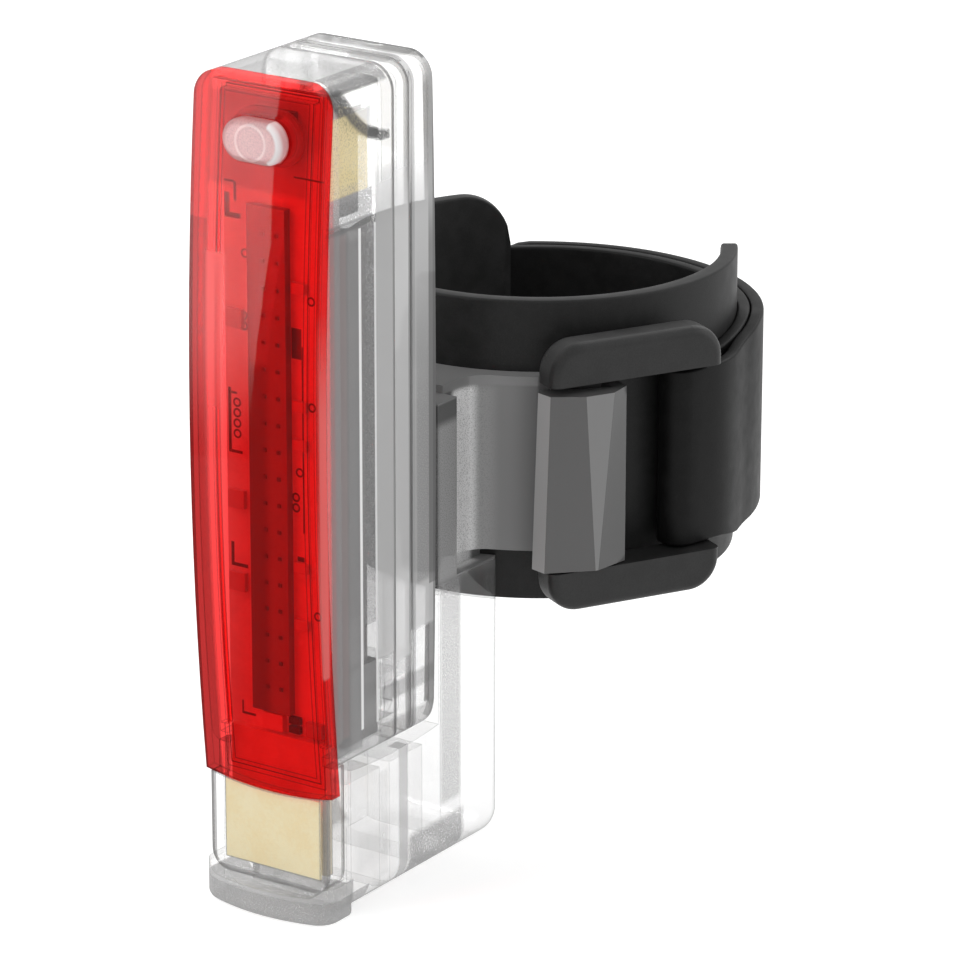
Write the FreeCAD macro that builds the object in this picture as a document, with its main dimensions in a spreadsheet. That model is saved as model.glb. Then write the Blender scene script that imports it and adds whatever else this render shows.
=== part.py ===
import FreeCAD, Part
import math
import os

import Sketcher
from FreeCAD import Placement, Rotation, Vector

# A rear bike light on a strap mount for a seat post.
# The frame's origin is on the post's axis, at the middle of the rubber liner's height.
# +Z runs up along the post, the light shines along -Y, and +X is on the right seen from the front.

SIZES = [
    # the light: its shells
    ("light_width", 13.0, "width of the lens and of the shells"),
    ("light_height", 60.5, "length of the lens, from its bottom corners to its top edge"),
    ("light_depth", 14.6, "front plane to the back face at its top and bottom"),
    ("light_corner", 2.2, "radius of the corners seen from the front"),
    ("front_bow", 1.5, "how far the lens bows forward at half height"),
    ("back_bow", 0.5, "how far the back bows backward at half height"),
    ("lens_wall", 1.1, "wall of the red lens"),
    ("lens_sag", 0.7, "how far the lens's bottom edge dips at its middle"),
    ("rib_gap", 0.15, "gap between the lens's locating rib and the housing's walls"),
    ("rib_width", 0.7, "width of that rib"),
    ("rib_depth", 0.7, "how far that rib reaches behind the lens's wall"),
    ("seam", 0.04, "gap in a closed seam between two shells"),
    ("shell_wall", 0.9, "wall of the clear shells"),
    ("shell_lift", 2.3, "shells' underside above the lens's bottom corners"),
    ("shell_toe", 1.0, "radius of the shells' lower corners seen from the front"),
    ("shell_heel", 2.2, "radius of the back cover's lower back edge"),
    ("housing_depth", 9.2, "front plane to the back of the front housing"),
    ("frame_depth", 2.15, "depth of the frame between housing and back cover"),
    ("frame_wall", 1.3, "width of that frame seen from the back"),
    ("frame_bar_lift", 4.3, "cross bar in that frame above the shells' underside"),
    ("frame_bar_wall", 1.3, "height of that cross bar"),
    ("groove", 0.35, "groove between the frame and the back cover"),
    # the push button and its switch
    ("button_length", 6.0, "button across the light"),
    ("button_height", 3.6, "button up and down"),
    ("button_proud", 1.0, "how far the button stands out of the lens"),
    ("button_drop", 5.1, "button's middle below the light's top"),
    ("button_gap", 0.12, "running gap round the button"),
    ("button_travel", 0.4, "button's stroke"),
    ("button_round", 0.55, "rounding of the button's rim"),
    ("flange_lip", 0.55, "how far the button's retaining flange is wider all round"),
    ("flange_wall", 0.35, "thickness of the flange"),
    ("pipe_width", 2.9, "diameter of the light guide in the button"),
    ("plunger_width", 1.6, "diameter of the switch's plunger"),
    ("switch_side", 4.2, "side of the square switch"),
    ("switch_rest", 0.12, "thickness of the switch beyond the button's stroke"),
    # the circuit board and what is on it
    ("board_front", 2.2, "front plane to the circuit board's face"),
    ("board_wall", 0.8, "thickness of the circuit board"),
    ("board_width", 11.0, "width of the circuit board"),
    ("board_foot", 0.2, "board's lower end above the shells' floor"),
    ("board_lap", 0.5, "height over which the contact board overlaps the circuit board"),
    ("board_head", 0.5, "board's upper end below the shells' ceiling"),
    ("led_width", 3.8, "width of the LED strip"),
    ("led_wall", 0.75, "thickness of the LED strip"),
    ("led_foot", 2.35, "strip's lower end above the board's lower end"),
    ("led_head", 10.3, "strip's upper end below the shells' ceiling"),
    ("led_shift", 0.75, "strip's middle to the left of the light's middle"),
    ("chip_width", 0.32, "width and height of one LED chip"),
    ("chip_wall", 0.12, "how far a chip stands out of the strip"),
    ("chip_pitch", 2.3, "distance from chip to chip along the strip"),
    ("chip_rows", 1.4, "distance between the two rows of chips"),
    ("chip_shift", 0.4, "rows' middle to the right of the strip's middle"),
    # the cell, its tray and its protection board
    ("cell_width", 10.0, "width of the pouch cell"),
    ("cell_wall", 4.3, "thickness of the pouch cell"),
    ("cell_head", 13.05, "pouch cell's top below the shells' ceiling"),
    ("cell_round", 1.0, "rounding of the pouch's long edges"),
    ("cell_gap", 0.25, "gap between the cell and what is beside it"),
    ("tray_wall", 0.35, "wall of the tray that holds the cell's foot"),
    ("tray_height", 6.5, "height of that tray"),
    ("guard_height", 8.4, "height of the taped protection board"),
    ("guard_wall", 3.4, "thickness of the taped protection board"),
    ("guard_lift", 2.1, "taped protection board above the cell's top"),
    ("tab_width", 2.0, "width of a cell tab"),
    ("tab_wall", 0.2, "thickness of a cell tab"),
    ("tab_spread", 5.2, "distance between the two tabs' middles"),
    # the plug at the light's foot
    ("plug_width", 12.0, "width of a type A plug's tongue"),
    ("plug_length", 8.8, "plug's end to the lens's bottom corners"),
    ("plug_wall", 2.35, "thickness of the plug"),
    ("plug_corner", 1.7, "radius of the plug's lower corners"),
    ("plate_width", 9.7, "width of the gold plate"),
    ("plate_wall", 0.2, "thickness of the gold plate"),
    ("plate_depth", 0.46, "front plane to the gold plate's face"),
    ("plate_margin", 1.05, "clear edge under the gold plate"),
    ("tongue_wall", 0.8, "thickness of the contact board in the plug"),
    ("contact_width", 1.0, "width of one contact"),
    ("contact_wall", 0.12, "thickness of one contact"),
    ("contact_length", 7.4, "length of one contact"),
    ("contact_inner", 2.0, "distance between the two inner contacts"),
    ("contact_outer", 7.0, "distance between the two outer contacts"),
    # the post and the rubber liner round it
    ("post_distance", 40.1, "light's front plane to the post's axis"),
    ("post_height", 35.3, "cradle's underside to the liner's middle"),
    ("post_radius", 15.9, "bore of the liner, for a 31.6 mm post"),
    ("liner_wall", 1.45, "wall of the liner"),
    ("liner_height", 26.6, "height of the liner"),
    ("liner_angle", 137.5, "liner's left end, in degrees round the post from the front"),
    ("liner_sweep_angle", 265.5, "degrees of the post that the liner covers"),
    ("liner_ear", 4.5, "radius of the liner's left corners"),
    ("liner_tip", 1.2, "radius of the liner's right corners"),
    ("bond_gap", 0.05, "gap between the liner and what lies on it"),
    # the clear mount: cradle, back wall and block
    ("cradle_width", 13.2, "width of the cradle"),
    ("cradle_round", 2.8, "radius of the cradle's lower long edges"),
    ("cradle_nose", 1.9, "how far the cradle's foot stands in front of the light"),
    ("nose_bow", 1.3, "how far the foot's front bows out at its middle"),
    ("nose_round", 2.2, "radius of the foot's front corners"),
    ("nose_heel", 0.8, "radius of the lower edge round the foot"),
    ("floor_wall", 2.6, "floor under the plug"),
    ("lip_height", 3.4, "top of the lip round the plug's corners, above the underside"),
    ("seat_gap", 0.06, "plug's end above the floor"),
    ("plug_gap", 0.1, "gap round the plug in the cradle"),
    ("rim_gap", 0.5, "gap between the cradle's rim and the shells"),
    ("rim_dish", 0.35, "how far the rim dips at its middle"),
    ("wall_gap", 0.15, "gap between the light's back and the back wall"),
    ("wall_back", 18.0, "light's front plane to the back wall's back"),
    ("wall_height", 41.7, "top of the back wall above the underside"),
    ("block_back", 24.9, "light's front plane to the block's back"),
    ("block_height", 25.9, "top of the block above the underside"),
    ("block_round", 1.5, "radius of the block's upright back edges"),
    ("core_wall", 1.7, "wall round the cores under the block"),
    ("core_rib", 1.4, "rib between the two front cores"),
    ("core_roof", 2.2, "material above the cores"),
    ("neck_width", 10.4, "width of the neck from the back wall to the arms"),
    # the rail that the light slides onto
    ("rail_neck", 2.6, "width of the rail's neck"),
    ("rail_head", 4.6, "width of the rail's head"),
    ("rail_wall", 0.9, "thickness of the rail's head"),
    ("rail_depth", 1.9, "how far the rail reaches into the back cover"),
    ("rail_foot", 5.0, "rail's lower end above the shells' underside"),
    ("rail_top", 17.5, "rail's upper end above the shells' underside"),
    ("rail_gap", 0.12, "gap between the rail and its slot"),
    # the arms, the hook and the strap's anchor
    ("band_drop", 0.65, "middle of arms, hook, ring and strap below the liner's middle"),
    ("arm_wall", 1.4, "thickness of the arms round the liner"),
    ("arm_height", 15.5, "height of the arms and of the hook"),
    ("hook_gap", 0.4, "gap between the ring's latch bar and the hook's plate"),
    ("hook_heel", 2.65, "bend of the hook, to the left of the ring's middle line"),
    ("hook_wall", 1.25, "thickness of the hook's bend"),
    ("tip_upper", 10.2, "upper end of the hook's free edge, left of the middle line"),
    ("tip_lower", 10.7, "lower end of the hook's free edge"),
    ("hook_drop", 0.3, "middle of the hook below the middle of the arms"),
    ("hook_face", 22.55, "hook's outer face from the post's axis"),
    ("ridge_upper", 4.45, "upper end of the hook's front ridge, left of the middle line"),
    ("ridge_lower", 5.85, "lower end of the hook's front ridge"),
    ("facet_upper", 7.1, "upper end of the hook's second ridge"),
    ("facet_lower", 6.1, "lower end of the hook's second ridge"),
    ("anchor_angle", 44.0, "strap's anchor, in degrees to the left of the front"),
    ("bead_radius", 1.4, "radius of the bead at the strap's end"),
    ("bead_gap", 0.08, "gap round the bead in its channel"),
    ("channel_wall", 1.1, "wall of the channel that holds the bead"),
    # the ring
    ("ring_angle", 61.0, "ring's middle line, in degrees to the right of the front"),
    ("ring_inner", 18.7, "ring's inner face from the post's axis"),
    ("ring_wall", 3.1, "thickness of the ring"),
    ("ring_left", 9.85, "ring's left end from its middle line"),
    ("ring_right", 6.4, "ring's right end from its middle line"),
    ("ring_opening", 16.4, "height of the ring's opening"),
    ("ring_bar", 3.6, "height of its upper and lower bars"),
    ("ring_corner", 2.8, "radius of its corners seen from the front"),
    ("ring_round", 0.8, "rounding of its edges"),
    ("latch_far_angle", 24.3, "latch bar's left edge, in degrees left of the middle line"),
    ("latch_near_angle", 12.7, "latch bar's right edge, in degrees left of the middle line"),
    ("latch_gap", 0.3, "gap between the arm and the latch bar"),
    ("latch_wall", 1.9, "thickness of the latch bar"),
    ("fold_bar_wall", 1.2, "thickness of the bar that the strap folds round"),
    ("fold_near_angle", 11.4, "that bar's rounded edge, in degrees right of the middle line"),
    ("fold_far_angle", 19.2, "that bar's other edge, in degrees right of the middle line"),
    # the strap
    ("strap_wall", 1.1, "thickness of the strap"),
    ("strap_gap", 0.1, "gap between the strap and what it goes round"),
    ("strap_drop", 0.22, "middle of the strap below the middle of the arms"),
    ("strap_narrow", 15.6, "width of the strap in the ring"),
    ("strap_wide", 17.4, "width of the strap round the back of the post"),
    ("taper_upper", 8.0, "length over which the strap's upper edge widens"),
    ("taper_lower", 4.0, "length over which the strap's lower edge widens"),
    ("tail_angle", 228.0, "end of the folded tail, in degrees round the post"),
    ("tail_round", 4.0, "radius of the tail's corners"),
]


class Length:
    """A size together with the formula that ties it to the sheet."""

    def __init__(self, number, formula):
        self.number = number
        self.formula = formula

    def __add__(self, other):
        other = length(other)
        return Length(self.number + other.number, f"({self.formula} + {other.formula})")

    def __radd__(self, other):
        return length(other) + self

    def __sub__(self, other):
        other = length(other)
        return Length(self.number - other.number, f"({self.formula} - {other.formula})")

    def __rsub__(self, other):
        return length(other) - self

    def __mul__(self, other):
        other = length(other)
        return Length(self.number * other.number, f"({self.formula} * {other.formula})")

    def __rmul__(self, other):
        return length(other) * self

    def __truediv__(self, other):
        other = length(other)
        return Length(self.number / other.number, f"({self.formula} / {other.formula})")

    def __neg__(self):
        return Length(-self.number, f"(0 - {self.formula})")


def length(value):
    """A plain number becomes a Length, and a Length stays as it is."""
    if isinstance(value, Length):
        return value
    return Length(float(value), repr(float(value)))


def root(value):
    return Length(math.sqrt(value.number), f"sqrt({value.formula})")


def lesser(one, other):
    return Length(min(one.number, other.number), f"min({one.formula}; {other.formula})")


def sine(angle):
    return Length(math.sin(math.radians(angle.number)), f"sin({angle.formula})")


def cosine(angle):
    return Length(math.cos(math.radians(angle.number)), f"cos({angle.formula})")


doc = FreeCAD.newDocument("bike_light")
sheet = doc.addObject("Spreadsheet::Sheet", "Sizes")
for row, (name, number, note) in enumerate(SIZES, start=1):
    sheet.set(f"A{row}", name)
    sheet.set(f"B{row}", str(number))
    sheet.set(f"C{row}", note)
    sheet.setAlias(f"B{row}", name)
doc.recompute()


def size(name):
    """The named cell of the sheet."""
    return Length(float(getattr(sheet, name)), f"Sizes.{name}")


# Planes of a body that sketches lie on, and how far along the world's axis a lift counts.
PLANES = {"top": ("XY_Plane", 1), "front": ("XZ_Plane", -1), "side": ("YZ_Plane", 1)}


def new_body(label):
    body = doc.addObject("PartDesign::Body", label)
    body.Label = label
    return body


def new_sketch(body, view, start):
    """A sketch on one of the body's own planes, moved to start along that plane's axis."""
    role, sign = PLANES[view]
    sketch = body.newObject("Sketcher::SketchObject", "Outline")
    plane = [item for item in body.Origin.OriginFeatures if item.Role == role][0]
    sketch.AttachmentSupport = [(plane, "")]
    sketch.MapMode = "FlatFace"
    sketch.setExpression("AttachmentOffset.Base.z", (length(start) * sign).formula)
    return sketch


def pin_point(sketch, geometry, end, point):
    """Ties one end of a line or arc, or a circle's middle, to a place in the sketch."""
    for kind, value in (("DistanceX", point[0]), ("DistanceY", point[1])):
        value = length(value)
        rule = Sketcher.Constraint(kind, -1, 1, geometry, end, value.number)
        index = sketch.addConstraint(rule)
        sketch.setExpression(f"Constraints[{index}]", value.formula)


def set_radius(sketch, geometry, radius):
    radius = length(radius)
    rule = Sketcher.Constraint("Radius", geometry, radius.number)
    index = sketch.addConstraint(rule)
    sketch.setExpression(f"Constraints[{index}]", radius.formula)


def flat(point):
    return Vector(length(point[0]).number, length(point[1]).number, 0)


def draw_outline(sketch, corners, arcs):
    """A closed outline. arcs maps a side's number to its arc's middle point and radius."""
    count = len(corners)
    first = None
    previous = None
    for side in range(count):
        start = corners[side]
        end = corners[(side + 1) % count]
        if side in arcs:
            middle, radius = arcs[side]
            shape = Part.Arc(flat(start), flat(middle), flat(end))
        else:
            shape = Part.LineSegment(flat(start), flat(end))
        geometry = sketch.addGeometry(shape, False)
        starts_here = sketch.getPoint(geometry, 1).isEqual(flat(start), 1e-5)
        head, tail = (1, 2) if starts_here else (2, 1)
        if side in arcs:
            set_radius(sketch, geometry, radius)
        if previous is not None:
            rule = Sketcher.Constraint("Coincident", previous[0], previous[1], geometry, head)
            sketch.addConstraint(rule)
        else:
            first = (geometry, head)
        pin_point(sketch, geometry, head, start)
        previous = (geometry, tail)
    sketch.addConstraint(Sketcher.Constraint("Coincident", previous[0], previous[1], *first))


def extrude(body, view, start, end, corners, arcs=None, cut=False):
    """Adds or cuts the outline between two places along the view's axis."""
    sketch = new_sketch(body, view, start)
    draw_outline(sketch, corners, arcs or {})
    return extrude_sketch(body, view, sketch, start, end, cut)


def extrude_sketch(body, view, sketch, start, end, cut):
    kind = "PartDesign::Pocket" if cut else "PartDesign::Pad"
    feature = body.newObject(kind, "Cut" if cut else "Pad")
    feature.Profile = sketch
    feature.setExpression("Length", (length(end) - length(start)).formula)
    feature.Reversed = (PLANES[view][1] < 0) != cut
    body.Tip = feature
    return feature


def extrude_disc(body, view, start, end, centre, radius, cut=False):
    """Adds or cuts a round disc between two places along the view's axis."""
    sketch = new_sketch(body, view, start)
    circle = Part.Circle(flat(centre), Vector(0, 0, 1), length(radius).number)
    geometry = sketch.addGeometry(circle, False)
    pin_point(sketch, geometry, 3, centre)
    set_radius(sketch, geometry, radius)
    return extrude_sketch(body, view, sketch, start, end, cut)


def rectangle(left, low, right, high):
    return [(left, low), (right, low), (right, high), (left, high)]


def stadium(middle, width, height):
    """A slot outline with round ends, round a middle on the light's centre plane."""
    radius = height / 2
    reach = width / 2 - radius
    low = middle - radius
    high = middle + radius
    slant = radius * math.sqrt(0.5)
    corners = [
        (-reach, low),
        (reach, low),
        (reach + radius, middle),
        (reach, high),
        (-reach, high),
        (-reach - radius, middle),
    ]
    arcs = {
        1: ((reach + slant, middle - slant), radius),
        2: ((reach + slant, middle + slant), radius),
        4: ((-reach - slant, middle + slant), radius),
        5: ((-reach - slant, middle - slant), radius),
    }
    return corners, arcs


def round_edges(body, radius, pick):
    """Rounds those edges of the body so far that pick accepts."""
    doc.recompute()
    base = body.Tip
    names = [f"Edge{i}" for i, edge in enumerate(base.Shape.Edges, start=1) if pick(edge)]
    if not names:
        raise RuntimeError(f"{body.Label}: no edge to round")
    fillet = body.newObject("PartDesign::Fillet", "Round")
    fillet.Base = (base, names)
    fillet.setExpression("Radius", length(radius).formula)
    body.Tip = fillet
    return fillet


def runs_along(edge, axis):
    """True for a straight edge along x, y or z."""
    if not isinstance(edge.Curve, (Part.Line, Part.LineSegment)):
        return False
    direction = edge.tangentAt(edge.FirstParameter)
    return abs(abs(getattr(direction, axis)) - 1) < 1e-6


def middle_of(edge):
    return edge.valueAt((edge.FirstParameter + edge.LastParameter) / 2)


def near(one, other):
    return abs(one - length(other).number) < 0.02


def in_plane(edge, axis, place):
    """True when the whole edge lies in one plane across an axis."""
    spots = [vertex.Point for vertex in edge.Vertexes] + [middle_of(edge)]
    return all(near(getattr(spot, axis), place) for spot in spots)


# Places that several pieces share, worked out from the sizes.
half_width = size("light_width") / 2
front = -size("post_distance")
base = -size("post_height")
plug_end = base + size("floor_wall") + size("seat_gap")
lens_low = plug_end + size("plug_length")
light_top = lens_low + size("light_height")
middle_height = (lens_low + light_top) / 2
shell_low = lens_low + size("shell_lift")
floor_top = shell_low + size("shell_wall")
ceiling = light_top - size("shell_wall")
housing_back = front + size("housing_depth")
frame_back = housing_back + size("frame_depth")
back_face = front + size("light_depth")
board_face = front + size("board_front")
board_back = board_face + size("board_wall")
contact_top = floor_top + size("board_foot") + size("board_lap")
button_height_place = light_top - size("button_drop")
band_middle = -size("band_drop")
strap_middle = band_middle - size("strap_drop")
liner_outer = size("post_radius") + size("liner_wall")
arm_inner = liner_outer + size("bond_gap")
arm_outer = arm_inner + size("arm_wall")


def bow_radius(bow):
    """Radius of an arc as tall as the light that bows out by bow."""
    half = size("light_height") / 2
    return (half * half + bow * bow) / (bow * 2)


front_radius = bow_radius(size("front_bow"))
front_centre = front - size("front_bow") + front_radius
back_radius = bow_radius(size("back_bow"))
back_centre = back_face + size("back_bow") - back_radius


def front_curve(inset, height):
    """Depth of the bowed front, moved in by inset, at a height."""
    radius = front_radius - inset
    rise = height - middle_height
    return front_centre - root(radius * radius - rise * rise)


def back_curve(height):
    """Depth of the bowed back at a height."""
    rise = height - middle_height
    return back_centre + root(back_radius * back_radius - rise * rise)


def bowed_band(body, near_inset, far_inset, low, high, left, right, cut=False):
    """A slab between two depths behind the bowed front, both following its curve."""
    corners = [
        (front_curve(near_inset, high), high),
        (front_curve(near_inset, low), low),
        (front_curve(far_inset, low), low),
        (front_curve(far_inset, high), high),
    ]
    arcs = {
        0: ((front_centre - front_radius + near_inset, middle_height), front_radius - near_inset),
        2: ((front_centre - front_radius + far_inset, middle_height), front_radius - far_inset),
    }
    return extrude(body, "side", left, right, corners, arcs, cut)


def top_corner(edge):
    return runs_along(edge, "y") and near(middle_of(edge).z, light_top)


def low_corner(edge):
    return runs_along(edge, "y") and near(middle_of(edge).z, shell_low)


def smile(height):
    """The lens's dipping bottom edge: its two ends, its middle and its radius, moved up by height."""
    sag = size("lens_sag")
    radius = (half_width * half_width + sag * sag) / (sag * 2)
    ends = ((-half_width, lens_low + height), (half_width, lens_low + height))
    return ends, (0, lens_low + height - sag), radius


def make_front_lens():
    """The red lens: a bowed plate with a locating rib behind it."""
    body = new_body("front_lens")
    dip = lens_low - size("lens_sag")
    wall = size("lens_wall")
    bowed_band(body, 0 * wall, wall, dip, light_top, -half_width, half_width)
    round_edges(body, size("light_corner"), upper_lens_corner)
    # the rib is open at its foot, where the contact board comes up behind the lens
    gap = size("rib_gap")
    rib_side = half_width - size("shell_wall") - gap
    rib_low = contact_top + gap
    rib_high = ceiling - gap
    start = wall - size("seam")
    deep = wall + size("rib_depth")
    bowed_band(body, start, deep, rib_low, rib_high, -rib_side, rib_side)
    hole_side = rib_side - size("rib_width")
    hole_high = rib_high - size("rib_width")
    hole_low = rib_low - gap
    bowed_band(body, wall, deep + wall, hole_low, hole_high, -hole_side, hole_side, cut=True)
    (left, right), lowest, radius = smile(0)
    corners = [left, right, (half_width, dip - wall), (-half_width, dip - wall)]
    extrude(body, "front", front - wall, front + wall * 3, corners, {0: (lowest, radius)}, cut=True)
    corners, arcs = stadium(
        button_height_place,
        size("button_length") + size("button_gap") * 2,
        size("button_height") + size("button_gap") * 2,
    )
    extrude(body, "front", front - wall * 3, front + wall * 2, corners, arcs, cut=True)
    return body


def upper_lens_corner(edge):
    """The short edges through the wall at the lens's upper corners."""
    spot = middle_of(edge)
    ends = [vertex.Point for vertex in edge.Vertexes]
    across = len(ends) == 2 and abs(ends[0].y - ends[1].y) > 0.1 and abs(ends[0].z - ends[1].z) < 1e-6
    return across and near(spot.z, light_top)


def make_light_housing():
    """The clear box that holds the electronics, open at the front."""
    body = new_body("light_housing")
    inset = size("lens_wall") + size("seam")
    corners = [
        (front_curve(inset, light_top), light_top),
        (front_curve(inset, shell_low), shell_low),
        (housing_back, shell_low),
        (housing_back, light_top),
    ]
    arcs = {0: ((front_centre - front_radius + inset, middle_height), front_radius - inset)}
    extrude(body, "side", -half_width, half_width, corners, arcs)
    round_edges(body, size("light_corner"), top_corner)
    round_edges(body, size("shell_toe"), low_corner)
    inner = half_width - size("shell_wall")
    cavity_back = housing_back - size("shell_wall")
    extrude(
        body, "front", front - size("front_bow"), cavity_back,
        rectangle(-inner, floor_top, inner, ceiling), cut=True,
    )
    slot_side = size("plate_width") / 2
    tongue_front = board_face - size("tongue_wall")
    slot = rectangle(-slot_side, front, slot_side, board_face)
    extrude(body, "top", shell_low - size("shell_wall"), floor_top + size("seam"), slot, cut=True)
    round_edges(body, size("shell_wall") / 2, housing_inner_corner)
    return body


def housing_inner_corner(edge):
    spot = middle_of(edge)
    inner = (half_width - size("shell_wall")).number
    deep = runs_along(edge, "y") and edge.Length > size("housing_depth").number / 2
    high = near(spot.z, ceiling)
    return deep and high and abs(abs(spot.x) - inner) < 0.02


def make_rear_frame():
    """The clear frame between the housing and the back cover, with a window in it."""
    body = new_body("rear_frame")
    seam = size("seam")
    outline = rectangle(-half_width, shell_low, half_width, light_top)
    extrude(body, "front", housing_back + seam, frame_back, outline)
    round_edges(body, size("light_corner"), top_corner)
    round_edges(body, size("shell_toe"), low_corner)
    wall = size("frame_wall")
    window = rectangle(-half_width + wall, shell_low + wall, half_width - wall, light_top - wall)
    extrude(body, "front", housing_back, frame_back + seam, window, cut=True)
    round_edges(body, size("shell_wall"), frame_window_corner)
    low = shell_low + size("frame_bar_lift")
    reach = half_width - wall / 2
    bar = rectangle(-reach, low, reach, low + size("frame_bar_wall"))
    extrude(body, "front", housing_back + seam, frame_back, bar)
    return body


def frame_window_corner(edge):
    spot = middle_of(edge)
    inner = (half_width - size("frame_wall")).number
    return runs_along(edge, "y") and abs(abs(spot.x) - inner) < 0.02


def make_back_cover():
    """The clear back cover, with a slot that slides onto the mount's rail."""
    body = new_body("back_cover")
    start = frame_back + size("seam")
    corners = [
        (start, shell_low),
        (back_curve(shell_low), shell_low),
        (back_curve(light_top), light_top),
        (start, light_top),
    ]
    arcs = {1: ((back_face + size("back_bow"), middle_height), back_radius)}
    extrude(body, "side", -half_width, half_width, corners, arcs)
    round_edges(body, size("light_corner"), top_corner)
    round_edges(body, size("shell_toe"), low_corner)
    groove = size("groove")
    step = half_width - groove
    for left, right in ((-half_width, -step), (step, half_width)):
        channel = rectangle(left, start - groove, right, start + groove)
        extrude(body, "top", shell_low - groove, light_top + groove, channel, cut=True)
    over = rectangle(start - groove, light_top - groove, start + groove, light_top + groove)
    extrude(body, "side", -half_width, half_width, over, cut=True)
    cut_heel(body)
    gap = size("rail_gap")
    slot_top = shell_low + size("rail_top") + gap
    head = size("rail_head") / 2 + gap
    neck = size("rail_neck") / 2 + gap
    head_front = rail_front - gap
    head_back = rail_front + size("rail_wall") + gap
    below = shell_low - size("shell_toe")
    behind = back_face + size("back_bow") * 2
    extrude(body, "top", below, slot_top, rectangle(-head, head_front, head, head_back), cut=True)
    extrude(body, "top", below, slot_top, rectangle(-neck, head_front, neck, behind), cut=True)
    return body


def cut_heel(body):
    """Rounds the lower back edge with a cut, so that the upright edges stay sharp."""
    radius = size("shell_heel")
    heel_top = shell_low + radius
    back = back_curve(heel_top)
    toe = back - radius
    beyond = back + radius
    below = shell_low - radius
    slant = radius * (1 - math.sqrt(0.5))
    corners = [(toe, shell_low), (toe, below), (beyond, below), (beyond, heel_top), (back, heel_top)]
    arcs = {4: ((back - slant, shell_low + slant), radius)}
    extrude(body, "side", -half_width * 2, half_width * 2, corners, arcs, cut=True)


wall_front = back_face + size("back_bow") + size("wall_gap")
rail_front = wall_front - size("rail_depth")


def make_button():
    """The clear button, with a flange behind the lens and a bore for its light guide."""
    body = new_body("button")
    place = button_height_place
    face = front_curve(0 * front_radius, place) - size("button_proud")
    corners, arcs = stadium(place, size("button_length"), size("button_height"))
    extrude(body, "front", face, flange_front, corners, arcs)
    round_edges(body, size("button_round"), lambda edge: in_plane(edge, "y", face))
    lip = size("flange_lip") * 2
    corners, arcs = stadium(place, size("button_length") + lip, size("button_height") + lip)
    extrude(body, "front", flange_front, flange_back, corners, arcs)
    bore = size("pipe_width") / 2
    bore_end = face + size("flange_wall") * 2
    extrude_disc(body, "front", bore_end, flange_back, (0, place), bore, cut=True)
    return body


flange_low = button_height_place + size("button_height") / 2 + size("flange_lip")
flange_front = front_curve(size("lens_wall"), flange_low) + size("seam")
flange_back = flange_front + size("flange_wall")


def make_button_light_guide():
    """The round guide inside the button, which also pushes the switch."""
    body = new_body("button_light_guide")
    place = button_height_place
    face = front_curve(0 * front_radius, place) - size("button_proud")
    fit = size("seam")
    start = face + size("flange_wall") * 2 + fit
    centre = (0, place)
    extrude_disc(body, "front", start, flange_back, centre, size("pipe_width") / 2 - fit)
    extrude_disc(body, "front", flange_back - fit, plunger_tip, centre, size("plunger_width") / 2)
    return body


switch_face = board_face - size("button_travel") - size("switch_rest")
plunger_tip = switch_face + size("seam")


def make_switch():
    """The flat push switch on the board, with a hole for the plunger."""
    body = new_body("push_switch")
    side = size("switch_side") / 2
    place = button_height_place
    square = rectangle(-side, place - side, side, place + side)
    extrude(body, "front", switch_face, board_face, square)
    hole = size("plunger_width") / 2 + size("button_gap")
    extrude_disc(body, "front", switch_face - hole, board_face + hole, (0, place), hole, cut=True)
    return body


def make_circuit_board():
    """The main board behind the lens."""
    body = new_body("circuit_board")
    side = size("board_width") / 2
    low = floor_top + size("board_foot")
    high = ceiling - size("board_head")
    extrude(body, "front", board_face, board_back, rectangle(-side, low, side, high))
    round_edges(body, size("shell_toe"), lambda edge: runs_along(edge, "y"))
    return body


def make_led_strip():
    """The carrier strip of the LEDs, on the front of the board."""
    body = new_body("led_strip")
    middle = -size("led_shift")
    side = size("led_width") / 2
    low = floor_top + size("board_foot") + size("led_foot")
    outline = rectangle(middle - side, low, middle + side, ceiling - size("led_head"))
    extrude(body, "front", board_face - size("led_wall"), board_face, outline)
    return body


def make_led_chips():
    """Two rows of small LED chips on the strip."""
    side = size("chip_width").number
    wall = size("chip_wall").number
    pitch = size("chip_pitch").number
    low = (floor_top + size("board_foot") + size("led_foot")).number
    face = (board_face - size("led_wall")).number
    reach = (ceiling - size("led_head")).number - low
    count = int((reach - side) / pitch)
    start = low + (reach - (count - 1) * pitch) / 2
    chips = []
    for row_side in (-1, 1):
        middle = (size("chip_shift") - size("led_shift")).number + row_side * size("chip_rows").number / 2
        for step in range(count):
            corner = Vector(middle - side / 2, face - wall, start + step * pitch - side / 2)
            chips.append(Part.makeBox(side, wall, side, corner))
    feature = doc.addObject("Part::Feature", "led_chips")
    feature.Shape = Part.makeCompound(chips)
    return feature


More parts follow.
